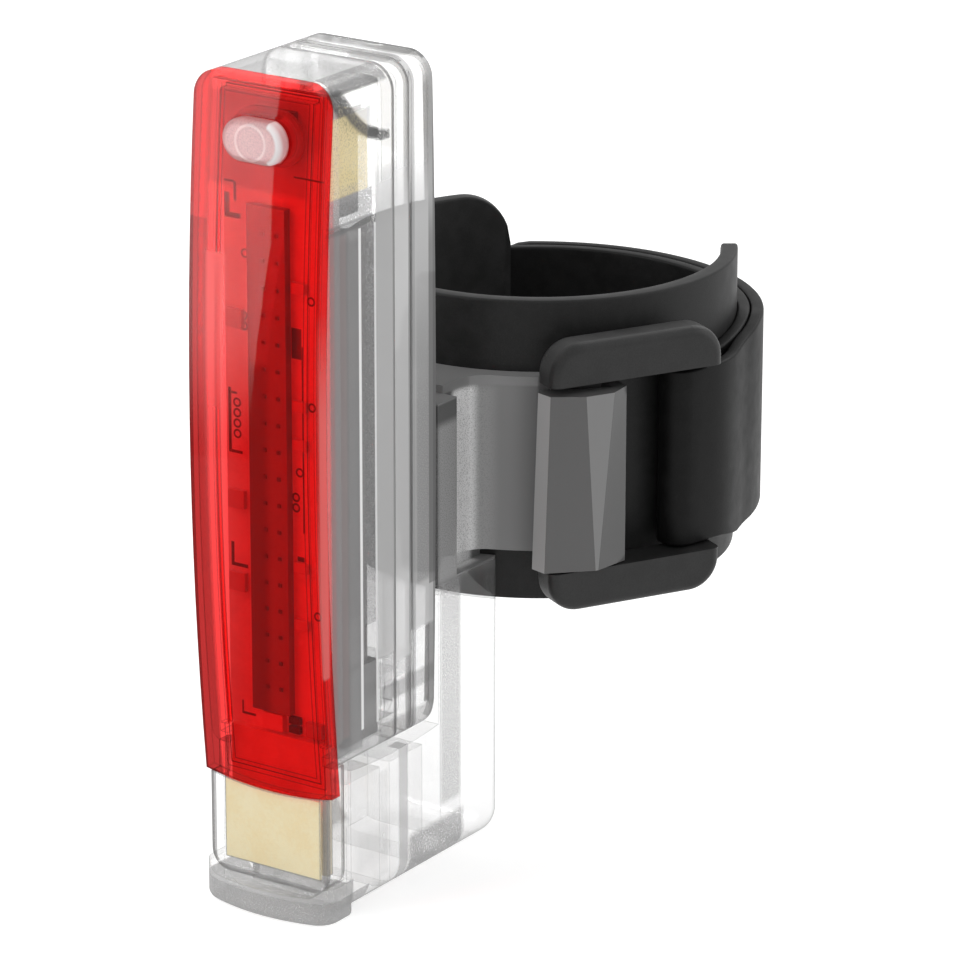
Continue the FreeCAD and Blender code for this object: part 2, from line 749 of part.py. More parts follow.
def make_board_components():
    """Small parts on the board: a block under the strip, chips beside it, and a driver chip."""
    side = size("board_width").number / 2
    face = board_face.number
    low = (floor_top + size("board_foot")).number
    high = (ceiling - size("board_head")).number
    strip = size("led_width").number / 2
    shift = size("led_shift").number
    height = high - low
    margin = 0.35
    beside = side - strip - shift - margin * 2
    parts = []

    def component(left, bottom, width, tall, thick):
        parts.append(Part.makeBox(width, thick, tall, Vector(left, face - thick, bottom)))

    foot = contact_top.number + margin / 2
    component(-1.7, foot, 2.0, 1.5, 0.6)
    component(0.8, foot + 0.1, 1.1, 0.6, 0.4)
    component(0.8, foot + 0.9, 1.1, 0.6, 0.4)
    component(2.6, foot + 0.1, 1.6, 1.3, 0.5)
    for share in (0.18, 0.27, 0.46, 0.52, 0.7):
        component(strip - shift + margin, low + share * height, beside * 0.62, 0.9, 0.4)
    for share in (0.22, 0.35, 0.63):
        component(-side + margin, low + share * height, beside * 0.75, 1.6, 0.45)
    feature = doc.addObject("Part::Feature", "board_components")
    feature.Shape = Part.makeCompound(parts)
    return feature


cell_front = board_back + size("cell_gap") + size("tray_wall")
cell_back = cell_front + size("cell_wall")
cell_low = floor_top + size("tray_wall")
cell_top = ceiling - size("cell_head")


def make_battery_cell():
    """The silver pouch cell."""
    body = new_body("battery_cell")
    side = size("cell_width") / 2
    outline = rectangle(-side, cell_front, side, cell_back)
    extrude(body, "top", cell_low, cell_top, outline)
    round_edges(body, size("cell_round"), lambda edge: runs_along(edge, "z"))
    return body


def make_cell_tray():
    """The tray that holds the cell's foot against the housing's floor."""
    body = new_body("cell_tray")
    wall = size("tray_wall")
    side = size("cell_width") / 2 + wall
    outline = rectangle(-side, cell_front - wall, side, cell_back + wall)
    extrude(body, "top", floor_top, floor_top + size("tray_height"), outline)
    inner = rectangle(-side + wall, cell_front, side - wall, cell_back)
    above = floor_top + size("tray_height") + wall
    extrude(body, "top", floor_top + wall, above, inner, cut=True)
    round_edges(body, wall / 2, lambda edge: runs_along(edge, "z") and outside_tray(edge))
    return body


def outside_tray(edge):
    side = (size("cell_width") / 2 + size("tray_wall")).number
    return abs(abs(middle_of(edge).x) - side) < 0.02


def make_protection_board():
    """The cell's protection board, wrapped in yellow tape."""
    body = new_body("protection_board")
    side = size("cell_width") / 2 - size("cell_gap")
    low = cell_top + size("guard_lift")
    outline = rectangle(-side, cell_front, side, cell_front + size("guard_wall"))
    extrude(body, "top", low, low + size("guard_height"), outline)
    rim = size("cell_round") / 2
    round_edges(body, rim, lambda edge: runs_along(edge, "z"))
    return body


def make_cell_tabs():
    """Two metal tabs from the cell's top to its protection board."""
    wall = size("tab_wall").number
    width = size("tab_width").number
    lift = size("guard_lift").number
    depth = ((cell_front + cell_front + size("guard_wall")) / 2).number
    tabs = []
    for hand in (-1, 1):
        left = hand * size("tab_spread").number / 2 - width / 2
        corner = Vector(left, depth - wall / 2, cell_top.number)
        tabs.append(Part.makeBox(width, wall, lift, corner))
    feature = doc.addObject("Part::Feature", "cell_tabs")
    feature.Shape = Part.makeCompound(tabs)
    return feature


def make_plug_body():
    """The clear tongue of the plug, hollow for the gold plate and the contact board."""
    body = new_body("plug_body")
    side = size("plug_width") / 2
    back = front + size("plug_wall")
    behind_lens = front + size("lens_wall") + size("seam")
    top = shell_low - size("seam")
    corners = [
        (front, plug_end),
        (back, plug_end),
        (back, top),
        (behind_lens, top),
        (behind_lens, lens_low),
        (front, lens_low),
    ]
    extrude(body, "side", -side, side, corners)
    round_edges(
        body, size("plug_corner"),
        lambda edge: runs_along(edge, "y") and near(middle_of(edge).z, plug_end),
    )
    (left, right), lowest, radius = smile(-size("seam"))
    above = lens_low + size("lens_wall")
    corners = [left, right, (half_width, above), (-half_width, above)]
    extrude(body, "front", front - size("seam"), behind_lens, corners, {0: (lowest, radius)}, cut=True)
    pocket_side = size("plate_width") / 2 + size("seam")
    pocket_front = front + size("plate_depth") - size("seam")
    pocket_low = plug_end + size("plate_margin") - size("seam")
    hollow = rectangle(-pocket_side, pocket_front, pocket_side, board_face)
    extrude(body, "top", pocket_low, top + size("seam") * 2, hollow, cut=True)
    return body


def make_gold_plate():
    """The bare gold plate seen through the front of the plug."""
    body = new_body("gold_plate")
    side = size("plate_width") / 2
    start = front + size("plate_depth")
    low = plug_end + size("plate_margin")
    high = lens_low - size("lens_sag") - size("seam")
    extrude(body, "front", start, start + size("plate_wall"), rectangle(-side, low, side, high))
    return body


def make_contact_board():
    """The thin board in the plug that carries the contacts and joins the main board."""
    body = new_body("contact_board")
    side = size("plate_width") / 2
    low = plug_end + size("plate_margin")
    start = board_face - size("tongue_wall")
    extrude(body, "front", start, board_face, rectangle(-side, low, side, contact_top))
    return body


def make_plug_contacts():
    """The plug's four contacts, in windows on its back."""
    width = size("contact_width").number
    wall = size("contact_wall").number
    low = (plug_end + size("plate_margin")).number + width / 2
    tall = size("contact_length").number
    places = []
    for spread in (size("contact_inner").number, size("contact_outer").number):
        places += [-spread / 2, spread / 2]
    boxes = []
    for place in places:
        corner = Vector(place - width / 2, board_face.number, low)
        boxes.append(Part.makeBox(width, wall, tall, corner))
    feature = doc.addObject("Part::Feature", "plug_contacts")
    feature.Shape = Part.makeCompound(boxes)
    return feature


def cut_contact_windows(body):
    """Four windows in the plug's back, one for each contact."""
    width = size("contact_width")
    low = plug_end + size("plate_margin") + width / 2
    high = low + size("contact_length")
    back = front + size("plug_wall") + size("seam")
    for spread in (size("contact_inner"), size("contact_outer")):
        for hand in (-1, 1):
            place = spread / 2 * hand
            window = rectangle(place - width / 2, low, place + width / 2, high)
            extrude(body, "front", board_face - size("seam"), back, window, cut=True)


def polar(radius, angle_sine, angle_cosine, centre=(0, 0)):
    """A place round a centre, at an angle from the front towards the right."""
    return (centre[0] + radius * angle_sine, centre[1] - radius * angle_cosine)


def sector(inner, outer, start, end, centre=(0, 0)):
    """Part of a ring between two angles, both Lengths in degrees from the front."""
    middle = (start + end) / 2
    corners = [
        polar(inner, sine(start), cosine(start), centre),
        polar(outer, sine(start), cosine(start), centre),
        polar(outer, sine(end), cosine(end), centre),
        polar(inner, sine(end), cosine(end), centre),
    ]
    arcs = {
        1: (polar(outer, sine(middle), cosine(middle), centre), outer),
        3: (polar(inner, sine(middle), cosine(middle), centre), inner),
    }
    return corners, arcs


def make_post_liner():
    """The rubber liner: part of a tube, turned about the post's axis."""
    body = new_body("post_liner")
    half = size("liner_height") / 2
    corners, arcs = sector(
        size("post_radius"), liner_outer,
        -size("liner_angle"), -size("liner_angle") + size("liner_sweep_angle"),
    )
    extrude(body, "top", -half, half, corners, arcs)
    round_edges(body, size("liner_ear"), lambda edge: liner_corner(edge, "left"))
    round_edges(body, size("liner_tip"), lambda edge: liner_corner(edge, "right"))
    return body


def liner_corner(edge, hand):
    """A short radial edge at one end of the liner."""
    spot = middle_of(edge)
    level = abs(abs(spot.z) - size("liner_height").number / 2) < 0.02
    short = edge.Length < size("liner_wall").number * 1.1
    straight = isinstance(edge.Curve, (Part.Line, Part.LineSegment))
    right = spot.x > 0
    return level and short and straight and right == (hand == "right")


bar_radius = size("fold_bar_wall") / 2
fold_radius = bar_radius + size("strap_gap")
layer_inner = arm_inner + size("strap_wall") + size("strap_gap")
bar_distance = layer_inner + bar_radius
bead_distance = arm_outer + size("bead_radius") / 2


def make_strap():
    """The rubber strap: bead, inner layer, fold round the ring's bar, and the outer layer."""
    body = new_body("strap")
    wall = size("strap_wall")
    low = strap_middle - size("strap_wide") / 2
    high = strap_middle + size("strap_wide") / 2
    fold = size("ring_angle") + size("fold_near_angle")
    leave = size("ring_angle") + size("fold_far_angle")
    corners, arcs = sector(arm_inner, arm_inner + wall, fold, 360 - size("anchor_angle"))
    extrude(body, "top", low, high, corners, arcs)
    bead = polar(bead_distance, -sine(size("anchor_angle")), cosine(size("anchor_angle")))
    extrude_disc(body, "top", low, high, bead, size("bead_radius"))
    # the fold is half a ring round the bar's rounded edge, drawn as two quarters
    spot = polar(bar_distance, sine(fold), cosine(fold))
    for turned in (90, 180):
        corners, arcs = sector(
            fold_radius, fold_radius + wall, fold + turned + 90, fold + turned + 180, spot
        )
        extrude(body, "top", low, high, corners, arcs)
    over = bar_distance + fold_radius
    corners, arcs = sector(over, over + wall, fold, leave)
    extrude(body, "top", low, high, corners, arcs)
    # from the bar the outer layer comes down on a straight line that touches the inner layer
    lean = layer_inner / over
    rise = root(1 - lean * lean)
    touch_sine = sine(leave) * lean + cosine(leave) * rise
    touch_cosine = cosine(leave) * lean - sine(leave) * rise
    corners = [
        polar(over, sine(leave), cosine(leave)),
        polar(over + wall, sine(leave), cosine(leave)),
        polar(layer_inner + wall, touch_sine, touch_cosine),
        polar(layer_inner, touch_sine, touch_cosine),
    ]
    extrude(body, "top", low, high, corners)
    tail = size("tail_angle")
    between = (leave + tail) / 2
    corners = [
        polar(layer_inner, touch_sine, touch_cosine),
        polar(layer_inner + wall, touch_sine, touch_cosine),
        polar(layer_inner + wall, sine(tail), cosine(tail)),
        polar(layer_inner, sine(tail), cosine(tail)),
    ]
    arcs = {
        1: (polar(layer_inner + wall, sine(between), cosine(between)), layer_inner + wall),
        3: (polar(layer_inner, sine(between), cosine(between)), layer_inner),
    }
    extrude(body, "top", low, high, corners, arcs)
    trim_strap(body, low, high)
    return body


def trim_strap(body, low, high):
    """Narrows the strap on the side of the light, where it goes through the ring."""
    half = size("strap_narrow") / 2
    reach = layer_inner * 2
    upper = size("taper_upper")
    lower = size("taper_lower")
    # the lower edge starts to widen just past the ring, the upper one beside the post
    for edge, narrow, beyond, start, taper in (
        (high, strap_middle + half, high + upper, 0, upper),
        (low, strap_middle - half, low - upper, -lower * 0.75, lower),
    ):
        corners = [
            (-reach, narrow),
            (start, narrow),
            (start + taper, edge),
            (start + taper, beyond),
            (-reach, beyond),
        ]
        extrude(body, "side", -reach, reach, corners, cut=True)
    round_edges(body, size("tail_round"), tail_corner)


def tail_corner(edge):
    """The two short radial edges at the free end of the outer layer."""
    angle = math.radians(size("tail_angle").number)
    middle = (layer_inner + size("strap_wall") / 2).number
    spot = middle_of(edge)
    place = Vector(middle * math.sin(angle), -middle * math.cos(angle), spot.z)
    return edge.Length < size("strap_wall").number * 1.2 and spot.distanceToPoint(place) < 0.05


def make_buckle_ring():
    """The black ring: two thick bars joined by the latch bar and by the strap's bar."""
    body = new_body("buckle_ring")
    near_face = -(size("ring_inner") + size("ring_wall"))
    far_face = -size("ring_inner")
    half = size("ring_opening") / 2
    left = -size("ring_left")
    right = size("ring_right")
    corner = size("ring_corner")
    slant = corner * (1 - math.sqrt(0.5))
    for hand in (1, -1):
        inner = band_middle + half * hand
        outer = inner + size("ring_bar") * hand
        corners = [
            (left, inner),
            (right, inner),
            (right, outer - corner * hand),
            (right - corner, outer),
            (left + corner, outer),
            (left, outer - corner * hand),
        ]
        arcs = {
            2: ((right - slant, outer - slant * hand), corner),
            4: ((left + slant, outer - slant * hand), corner),
        }
        extrude(body, "front", near_face, far_face, corners, arcs)
    round_edges(body, size("ring_round"), ring_outer_edge)
    low = band_middle - half - size("ring_bar") / 2
    high = band_middle + half + size("ring_bar") / 2
    latch_inner = arm_outer + size("latch_gap")
    corners, arcs = sector(
        latch_inner, latch_inner + size("latch_wall"), -size("latch_far_angle"), -size("latch_near_angle")
    )
    extrude(body, "top", low, high, corners, arcs)
    start = size("fold_near_angle")
    corners, arcs = sector(layer_inner, layer_inner + bar_radius * 2, start, size("fold_far_angle"))
    extrude(body, "top", low, high, corners, arcs)
    edge = polar(bar_distance, sine(start), cosine(start))
    extrude_disc(body, "top", low, high, edge, bar_radius)
    turn(body, size("ring_angle"))
    return body


def ring_outer_edge(edge):
    """Edges of the bars' front and back faces, apart from those on the opening."""
    spot = middle_of(edge)
    faces = (-size("ring_inner"), -(size("ring_inner") + size("ring_wall")))
    on_face = any(in_plane(edge, "y", face) for face in faces)
    rim = abs(spot.z - band_middle.number) > size("ring_opening").number / 2 + 0.05
    return on_face and rim


def turn(item, angle):
    """Turns a finished piece about the post's axis."""
    item.Placement = Placement(Vector(0, 0, 0), Rotation(Vector(0, 0, 1), angle.number))
    item.setExpression("Placement.Rotation.Angle", angle.formula)


def make_cradle():
    """Foot, lip, block and back wall of the clear mount, drawn from the side."""
    body = new_body("cradle_block")
    side = size("cradle_width") / 2
    lip_top = base + size("lip_height")
    nose = front - size("cradle_nose")
    block_front = front + size("plug_wall") + size("plug_gap")
    rim = shell_low - size("rim_gap")
    rim_middle = (block_front + wall_front) / 2
    rim_span = (wall_front - block_front) / 2
    dish = size("rim_dish")
    rim_radius = (rim_span * rim_span + dish * dish) / (dish * 2)
    wall_end = front + size("wall_back")
    block_end = front + size("block_back")
    block_top = base + size("block_height")
    wall_top = base + size("wall_height")
    corners = [
        (block_front, base),
        (block_end, base),
        (block_end, block_top),
        (wall_end, block_top),
        (wall_end, wall_top),
        (wall_front, wall_top),
        (wall_front, rim),
        (block_front, rim),
    ]
    arcs = {6: ((rim_middle, rim - dish), rim_radius)}
    extrude(body, "side", -side, side, corners, arcs)
    round_edges(body, size("cradle_round"), lambda edge: cradle_long_edge(edge))
    round_edges(body, size("block_round"), lambda edge: cradle_upright_edge(edge, block_end))
    bow = size("nose_bow")
    bow_out = (side * side + bow * bow) / (bow * 2)
    shoulder = nose + bow
    corners = [(-side, block_front), (-side, shoulder), (side, shoulder), (side, block_front)]
    extrude(body, "top", base, lip_top, corners, {1: ((0, nose), bow_out)})
    round_edges(body, size("nose_round"), lambda edge: cradle_upright_edge(edge, shoulder))
    round_edges(body, size("nose_heel"), lambda edge: nose_lower_edge(edge, block_front))
    cut_shoe(body, nose, block_front)
    cut_cores(body, block_front, wall_end, block_end, rim, block_top)
    add_rail(body)
    return body


def cradle_long_edge(edge):
    spot = middle_of(edge)
    side = size("cradle_width").number / 2
    return runs_along(edge, "y") and near(spot.z, base) and abs(abs(spot.x) - side) < 0.02


def cradle_upright_edge(edge, depth):
    spot = middle_of(edge)
    side = size("cradle_width").number / 2
    return runs_along(edge, "z") and near(spot.y, depth) and abs(abs(spot.x) - side) < 0.02


def nose_lower_edge(edge, block_front):
    """The edges round the foot's underside, in front of the block."""
    return in_plane(edge, "z", base) and middle_of(edge).y < block_front.number - 0.02


def cut_shoe(body, nose, block_front):
    """The seat for the plug: its rounded foot stands between the lip's corners."""
    gap = size("plug_gap")
    side = size("plug_width") / 2 + gap
    low = base + size("floor_wall")
    corner = size("plug_corner")
    slant = corner * (1 - math.sqrt(0.5))
    high = base + size("lip_height") + gap * 10
    corners = [
        (-side, high),
        (-side, low + corner),
        (-side + corner, low),
        (side - corner, low),
        (side, low + corner),
        (side, high),
    ]
    arcs = {
        1: ((-side + slant, low + slant), corner),
        3: ((side - slant, low + slant), corner),
    }
    extrude(body, "front", nose - gap, block_front, corners, arcs, cut=True)


def cut_cores(body, block_front, wall_end, block_end, rim, block_top):
    """Three hollows from below, as a moulding of this thickness has."""
    wall = size("core_wall")
    side = size("cradle_width") / 2 - wall
    roof = size("core_roof")
    rib = size("core_rib")
    front_start = block_front + wall
    front_end = wall_front
    span = (front_end - front_start - rib) / 2
    cores = (
        (front_start, front_start + span, rim - roof),
        (front_start + span + rib, front_end, rim - roof),
        (wall_end, lesser(block_end, -arm_inner) - wall, block_top - roof),
    )
    for start, end, top in cores:
        extrude(body, "top", base - wall, top, rectangle(-side, start, side, end), cut=True)


def add_rail(body):
    """The T-shaped rail on the front of the back wall."""
    low = shell_low + size("rail_foot")
    high = shell_low + size("rail_top")
    neck = size("rail_neck") / 2
    head = size("rail_head") / 2
    step = rail_front + size("rail_wall")
    into_wall = wall_front + size("seam")
    extrude(body, "top", low, high, rectangle(-neck, step - size("seam"), neck, into_wall))
    extrude(body, "top", low, high, rectangle(-head, rail_front, head, step))


def make_arms():
    """Neck, both arms round the liner, and the channel for the strap's bead."""
    body = new_body("mount_arms")
    low = band_middle - size("arm_height") / 2
    high = band_middle + size("arm_height") / 2
    left = -size("anchor_angle")
    right = size("ring_angle") - size("latch_near_angle") + size("hook_wall")
    corners, arcs = sector(arm_inner, arm_outer, left, right)
    extrude(body, "top", low, high, corners, arcs)
    side = size("neck_width") / 2
    start = front + size("wall_back") - size("seam")
    neck_low = base + size("block_height") - size("seam")
    extrude(body, "top", neck_low, high, rectangle(-side, start, side, -arm_inner + size("arm_wall")))
    # a hollow rounding joins the neck to the arms and takes up most of the neck's length
    joined_at = -root(arm_outer * arm_outer - side * side)
    round_edges(
        body, (joined_at - start) * 0.7,
        lambda edge: runs_along(edge, "z") and near(middle_of(edge).y, joined_at),
    )
    bead = polar(bead_distance, -sine(size("anchor_angle")), cosine(size("anchor_angle")))
    channel = size("bead_radius") + size("bead_gap")
    extrude_disc(body, "top", low, high, bead, channel + size("channel_wall"))
    extrude_disc(body, "top", low - channel, high + channel, bead, channel, cut=True)
    # the strap leaves the channel through a slit beside the liner
    gap = size("bead_gap")
    slit_start = -size("anchor_angle") - size("channel_wall") * 12
    slit_end = -size("anchor_angle") + gap * 4
    corners, arcs = sector(
        arm_inner - channel, arm_inner + size("strap_wall") + gap, slit_start, slit_end
    )
    extrude(body, "top", low - channel, high + channel, corners, arcs, cut=True)
    return body


def make_hook():
    """The hook: a bend at the arm's end and a faceted plate that runs back over the latch bar."""
    body = new_body("mount_hook")
    low = band_middle - size("hook_drop") - size("arm_height") / 2
    high = band_middle - size("hook_drop") + size("arm_height") / 2
    face = size("hook_face")
    plate_inner = arm_outer + size("latch_gap") + size("latch_wall") + size("hook_gap")
    heel = size("hook_heel")
    bend = heel + size("hook_wall")
    wall = size("hook_wall")
    sections = []
    for level, ridge, facet, tip in (
        (low, size("ridge_lower"), size("facet_lower"), size("tip_lower")),
        (high, size("ridge_upper"), size("facet_upper"), size("tip_upper")),
    ):
        sketch = new_sketch(body, "top", level)
        tip_inner = tip - wall * 0.45
        corners = [
            (-heel, -arm_inner),
            (-heel, -(face - wall)),
            (-ridge, -face),
            (-facet, -face),
            (-(tip - wall * 0.3), -(face - wall)),
            (-tip, -(plate_inner - wall * 1.3)),
            (-tip_inner, -root(plate_inner * plate_inner - tip_inner * tip_inner)),
            (-facet, -root(plate_inner * plate_inner - facet * facet)),
            (-bend, -root(plate_inner * plate_inner - bend * bend)),
            (-bend, -arm_inner),
        ]
        draw_outline(sketch, corners, {})
        sections.append(sketch)
    loft = body.newObject("PartDesign::AdditiveLoft", "Loft")
    loft.Profile = sections[0]
    loft.Sections = [sections[1]]
    loft.Ruled = True
    body.Tip = loft
    turn(body, size("ring_angle"))
    return body


def join(label, pieces):
    fused = doc.addObject("Part::MultiFuse", label)
    fused.Shapes = pieces
    fused.Refine = True
    return fused


def make_mount():
    """The clear mount in one moulding, with the liner's space cut out of it."""
    blank = join("mount_blank", [make_cradle(), make_arms(), make_hook()])
    space = doc.addObject("Part::Cylinder", "liner_space")
    space.setExpression("Radius", arm_inner.formula)
    space.setExpression("Height", (size("liner_height") * 2).formula)
    low = -(size("liner_height") / 2) - size("bond_gap") * 2
    space.setExpression("Placement.Base.z", low.formula)
    mount = doc.addObject("Part::Cut", "mount_cradle")
    mount.Base = blank
    mount.Tool = space
    mount.Refine = True
    return mount


def make_plug():
    body = make_plug_body()
    cut_contact_windows(body)
    return body


def failed(item):
    return any(word in item.State for word in ("Invalid", "Error"))


def described(item):
    owner = item.getParentGeoFeatureGroup()
    return f"{item.Name} of {owner.Label if owner else 'the document'}"


def check_document():
    """Every object is sound, and every cut takes something away."""
    unsound = [described(item) for item in doc.Objects if failed(item)]
    if unsound:
        raise RuntimeError(f"unsound: {', '.join(unsound)}")
    for item in doc.Objects:
        if item.TypeId == "PartDesign::Pocket":
            before = item.BaseFeature.Shape.Volume
            if before - item.Shape.Volume < 1e-4:
                raise RuntimeError(f"{described(item)} cuts nothing")


def write_part(item):
    shape = item.Shape
    if shape.isNull() or not shape.isValid():
        raise RuntimeError(f"{item.Label} has no sound shape")
    shape.exportStep(os.path.join("parts", f"{item.Label}.step"))
    count = len(shape.Solids)
    print(f"{item.Label}: {count} solid(s), {shape.Volume:.1f} mm3")


MAKERS = [
    make_front_lens,
    make_light_housing,
    make_rear_frame,
    make_back_cover,
    make_button,
    make_button_light_guide,
    make_switch,
    make_circuit_board,
    make_led_strip,
    make_led_chips,
    make_board_components,
    make_battery_cell,
    make_cell_tray,
    make_protection_board,
    make_cell_tabs,
    make_plug,
    make_gold_plate,
    make_contact_board,
    make_plug_contacts,
    make_post_liner,
    make_strap,
    make_buckle_ring,
    make_mount,
]

pieces = [make() for make in MAKERS]
doc.recompute()
check_document()
os.makedirs("parts", exist_ok=True)
for piece in pieces:
    write_part(piece)
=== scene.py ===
# %% [markdown]
# # A rear bike light on its strap mount
#
# The light is a slim clear box with a bowed red lens. It slides onto a clear bracket, and a rubber strap with
# a hooked ring holds the bracket round a seat post. Every hard part already exists at its real size, so this
# lesson does three things: it gives each part the plastic, metal or rubber that it is made of, it models the
# soft parts, and it sets up a plain photo studio round the whole.

# %% Load the measured parts
import math

import bpy
from mathutils import Matrix, Vector


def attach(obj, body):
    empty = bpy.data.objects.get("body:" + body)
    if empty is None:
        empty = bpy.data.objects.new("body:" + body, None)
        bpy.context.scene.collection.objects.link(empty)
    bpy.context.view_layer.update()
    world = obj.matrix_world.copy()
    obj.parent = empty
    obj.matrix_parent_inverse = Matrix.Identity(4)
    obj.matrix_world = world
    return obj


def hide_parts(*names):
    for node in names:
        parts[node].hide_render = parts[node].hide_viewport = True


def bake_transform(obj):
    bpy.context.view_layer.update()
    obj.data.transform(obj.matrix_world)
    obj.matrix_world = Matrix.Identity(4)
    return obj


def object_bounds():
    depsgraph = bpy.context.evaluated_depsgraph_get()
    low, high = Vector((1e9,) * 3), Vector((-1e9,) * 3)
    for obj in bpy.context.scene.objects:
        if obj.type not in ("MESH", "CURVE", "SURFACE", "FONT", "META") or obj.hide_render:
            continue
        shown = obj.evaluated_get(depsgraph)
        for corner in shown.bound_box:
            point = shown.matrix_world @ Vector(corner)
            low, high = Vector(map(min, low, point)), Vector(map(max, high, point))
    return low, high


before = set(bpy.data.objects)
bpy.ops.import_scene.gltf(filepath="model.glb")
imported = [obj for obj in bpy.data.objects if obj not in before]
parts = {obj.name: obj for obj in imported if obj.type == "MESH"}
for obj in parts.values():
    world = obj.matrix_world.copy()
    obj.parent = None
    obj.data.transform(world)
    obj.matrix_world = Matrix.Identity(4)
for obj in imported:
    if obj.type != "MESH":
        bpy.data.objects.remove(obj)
cad_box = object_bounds()
MM = 0.001
print(len(parts), "parts, from", *[tuple(round(v / MM, 1) for v in corner) for corner in cad_box])

# %% [markdown]
# ## The camera
#
# A photo's viewpoint is three things: the direction, the distance and the length of the lens. The straight
# edges of the light give the direction, and the way they draw together gives the distance. A long lens of
# about 197 mm, as product photographers use, keeps the edges almost parallel.

# %% Point the camera
AZIMUTH = math.radians(34.261)
ELEVATION = math.radians(18.818)
ROLL = math.radians(0.067)
TARGET = Vector((0, -9.402, -5.532)) * MM
DISTANCE = 451.92 * MM

backwards = Vector((
    math.sin(AZIMUTH) * math.cos(ELEVATION),
    -math.cos(AZIMUTH) * math.cos(ELEVATION),
    math.sin(ELEVATION),
))
level = Vector((math.cos(AZIMUTH), math.sin(AZIMUTH), 0))
upwards = backwards.cross(level)
across = level * math.cos(ROLL) + upwards * math.sin(ROLL)
upright = upwards * math.cos(ROLL) - level * math.sin(ROLL)
turned = Matrix((across, upright, backwards)).transposed().to_4x4()

camera_data = bpy.data.cameras.new("camera")
camera_data.sensor_width = 36
camera_data.lens = 196.77
camera_data.clip_start = 0.01
camera_data.clip_end = 20
camera = bpy.data.objects.new("camera", camera_data)
bpy.context.scene.collection.objects.link(camera)
camera.matrix_world = Matrix.Translation(TARGET + backwards * DISTANCE) @ turned
bpy.context.scene.camera = camera
print("camera at", [round(v, 3) for v in camera.location])

# %% [markdown]
# ## The studio
#
# Product shots stand on seamless white paper. A white floor that is lit until it clips would also wash out
# the object, so the floor gets a little light of its own that only the camera, mirrors and clear plastic see.
# The lamps are wide and soft, because clear plastic shows every small lamp as a hard spot.

# %% Helpers for node trees
def start_material(name):
    """A material with an empty node tree, and the tree."""
    material = bpy.data.materials.new(name)
    material.use_nodes = True
    material.node_tree.nodes.clear()
    return material, material.node_tree


def add(tree, kind, inputs=None, **settings):
    """Adds a node. An input is a plain value, or the socket that feeds it."""
    made = tree.nodes.new(kind)
    for key, value in settings.items():
        setattr(made, key, value)
    for key, value in (inputs or {}).items():
        if isinstance(value, bpy.types.NodeSocket):
            tree.links.new(value, made.inputs[key])
        else:
            made.inputs[key].default_value = value
    return made


def maths(tree, operation, *values, clamp=False):
    """One step of arithmetic, as a socket."""
    step = add(tree, "ShaderNodeMath", dict(enumerate(values)), operation=operation, use_clamp=clamp)
    return step.outputs[0]


def grey(value):
    return (value, value, value, 1)


bpy.context.scene.view_settings.view_transform = "Standard"
bpy.context.scene.cycles.transparent_max_bounces = 48
print("helpers ready")

# %% Floor and white surroundings
def seen_directly(tree):
    """1 for what the camera, a mirror or clear plastic looks at, 0 for light that falls on the object."""
    path = add(tree, "ShaderNodeLightPath")
    direct = maths(tree, "MAXIMUM", path.outputs["Is Camera Ray"], path.outputs["Is Glossy Ray"])
    return maths(tree, "MAXIMUM", direct, path.outputs["Is Transmission Ray"])


FLOOR_Z = cad_box[0].z - 0.05 * MM
FLOOR_SIZE = 6
FLOOR_GLOW = 0.55
ROOM_LIGHT = 0.55

bpy.ops.object.select_all(action="DESELECT")
bpy.ops.mesh.primitive_plane_add(size=FLOOR_SIZE, location=(0, 0, FLOOR_Z))
floor = bpy.context.object
floor.name = "floor"
paper, tree = start_material("white_paper")
matt = add(tree, "ShaderNodeBsdfDiffuse", {"Color": grey(0.8)})
glow = add(tree, "ShaderNodeEmission", {"Color": grey(1.0), "Strength": FLOOR_GLOW})
bright = add(tree, "ShaderNodeAddShader", {0: matt.outputs[0], 1: glow.outputs[0]})
chosen = add(tree, "ShaderNodeMixShader", {
    0: seen_directly(tree), 1: matt.outputs[0], 2: bright.outputs[0],
})
add(tree, "ShaderNodeOutputMaterial", {"Surface": chosen.outputs[0]})
floor.data.materials.append(paper)

world = bpy.data.worlds.new("studio")
bpy.context.scene.world = world
world.use_nodes = True
world.node_tree.nodes.clear()
tree = world.node_tree
strength = maths(tree, "MULTIPLY_ADD", seen_directly(tree), 1 - ROOM_LIGHT, ROOM_LIGHT)
sky = add(tree, "ShaderNodeBackground", {"Color": grey(1.0), "Strength": strength})
add(tree, "ShaderNodeOutputWorld", {"Surface": sky.outputs[0]})
print("floor at", round(FLOOR_Z / MM, 2), "mm")

# %% Lamps
LOOK_AT = Vector((0, -15, 0)) * MM


def softbox(name, place, width, height, power):
    """A wide soft lamp that looks at the object from a place in metres."""
    lamp = bpy.data.lights.new(name, "AREA")
    lamp.shape = "RECTANGLE"
    lamp.size = width
    lamp.size_y = height
    lamp.energy = power
    holder = bpy.data.objects.new(name, lamp)
    bpy.context.scene.collection.objects.link(holder)
    holder.location = place
    holder.rotation_mode = "QUATERNION"
    holder.rotation_quaternion = (LOOK_AT - Vector(place)).to_track_quat("-Z", "Y")
    holder.visible_camera = False
    return holder


softbox("lamp_key", (-0.35, -0.40, 0.50), 0.40, 0.40, 2.2)
softbox("lamp_side", (0.50, 0.28, 0.22), 0.25, 0.50, 0.7)
softbox("lamp_back", (0.05, 0.55, 0.45), 0.50, 0.30, 0.9)
print("3 lamps")

# %% [markdown]
# ## Patterns that know where they are
#
# A mark such as a frosted patch sits at a fixed place on the part. Each part's own coordinates are the real
# ones in metres, so a mask can be written in millimetres: it is one between two heights or depths and fades
# out over a short way. A little noise on the position turns the ruled edge into a sprayed one.

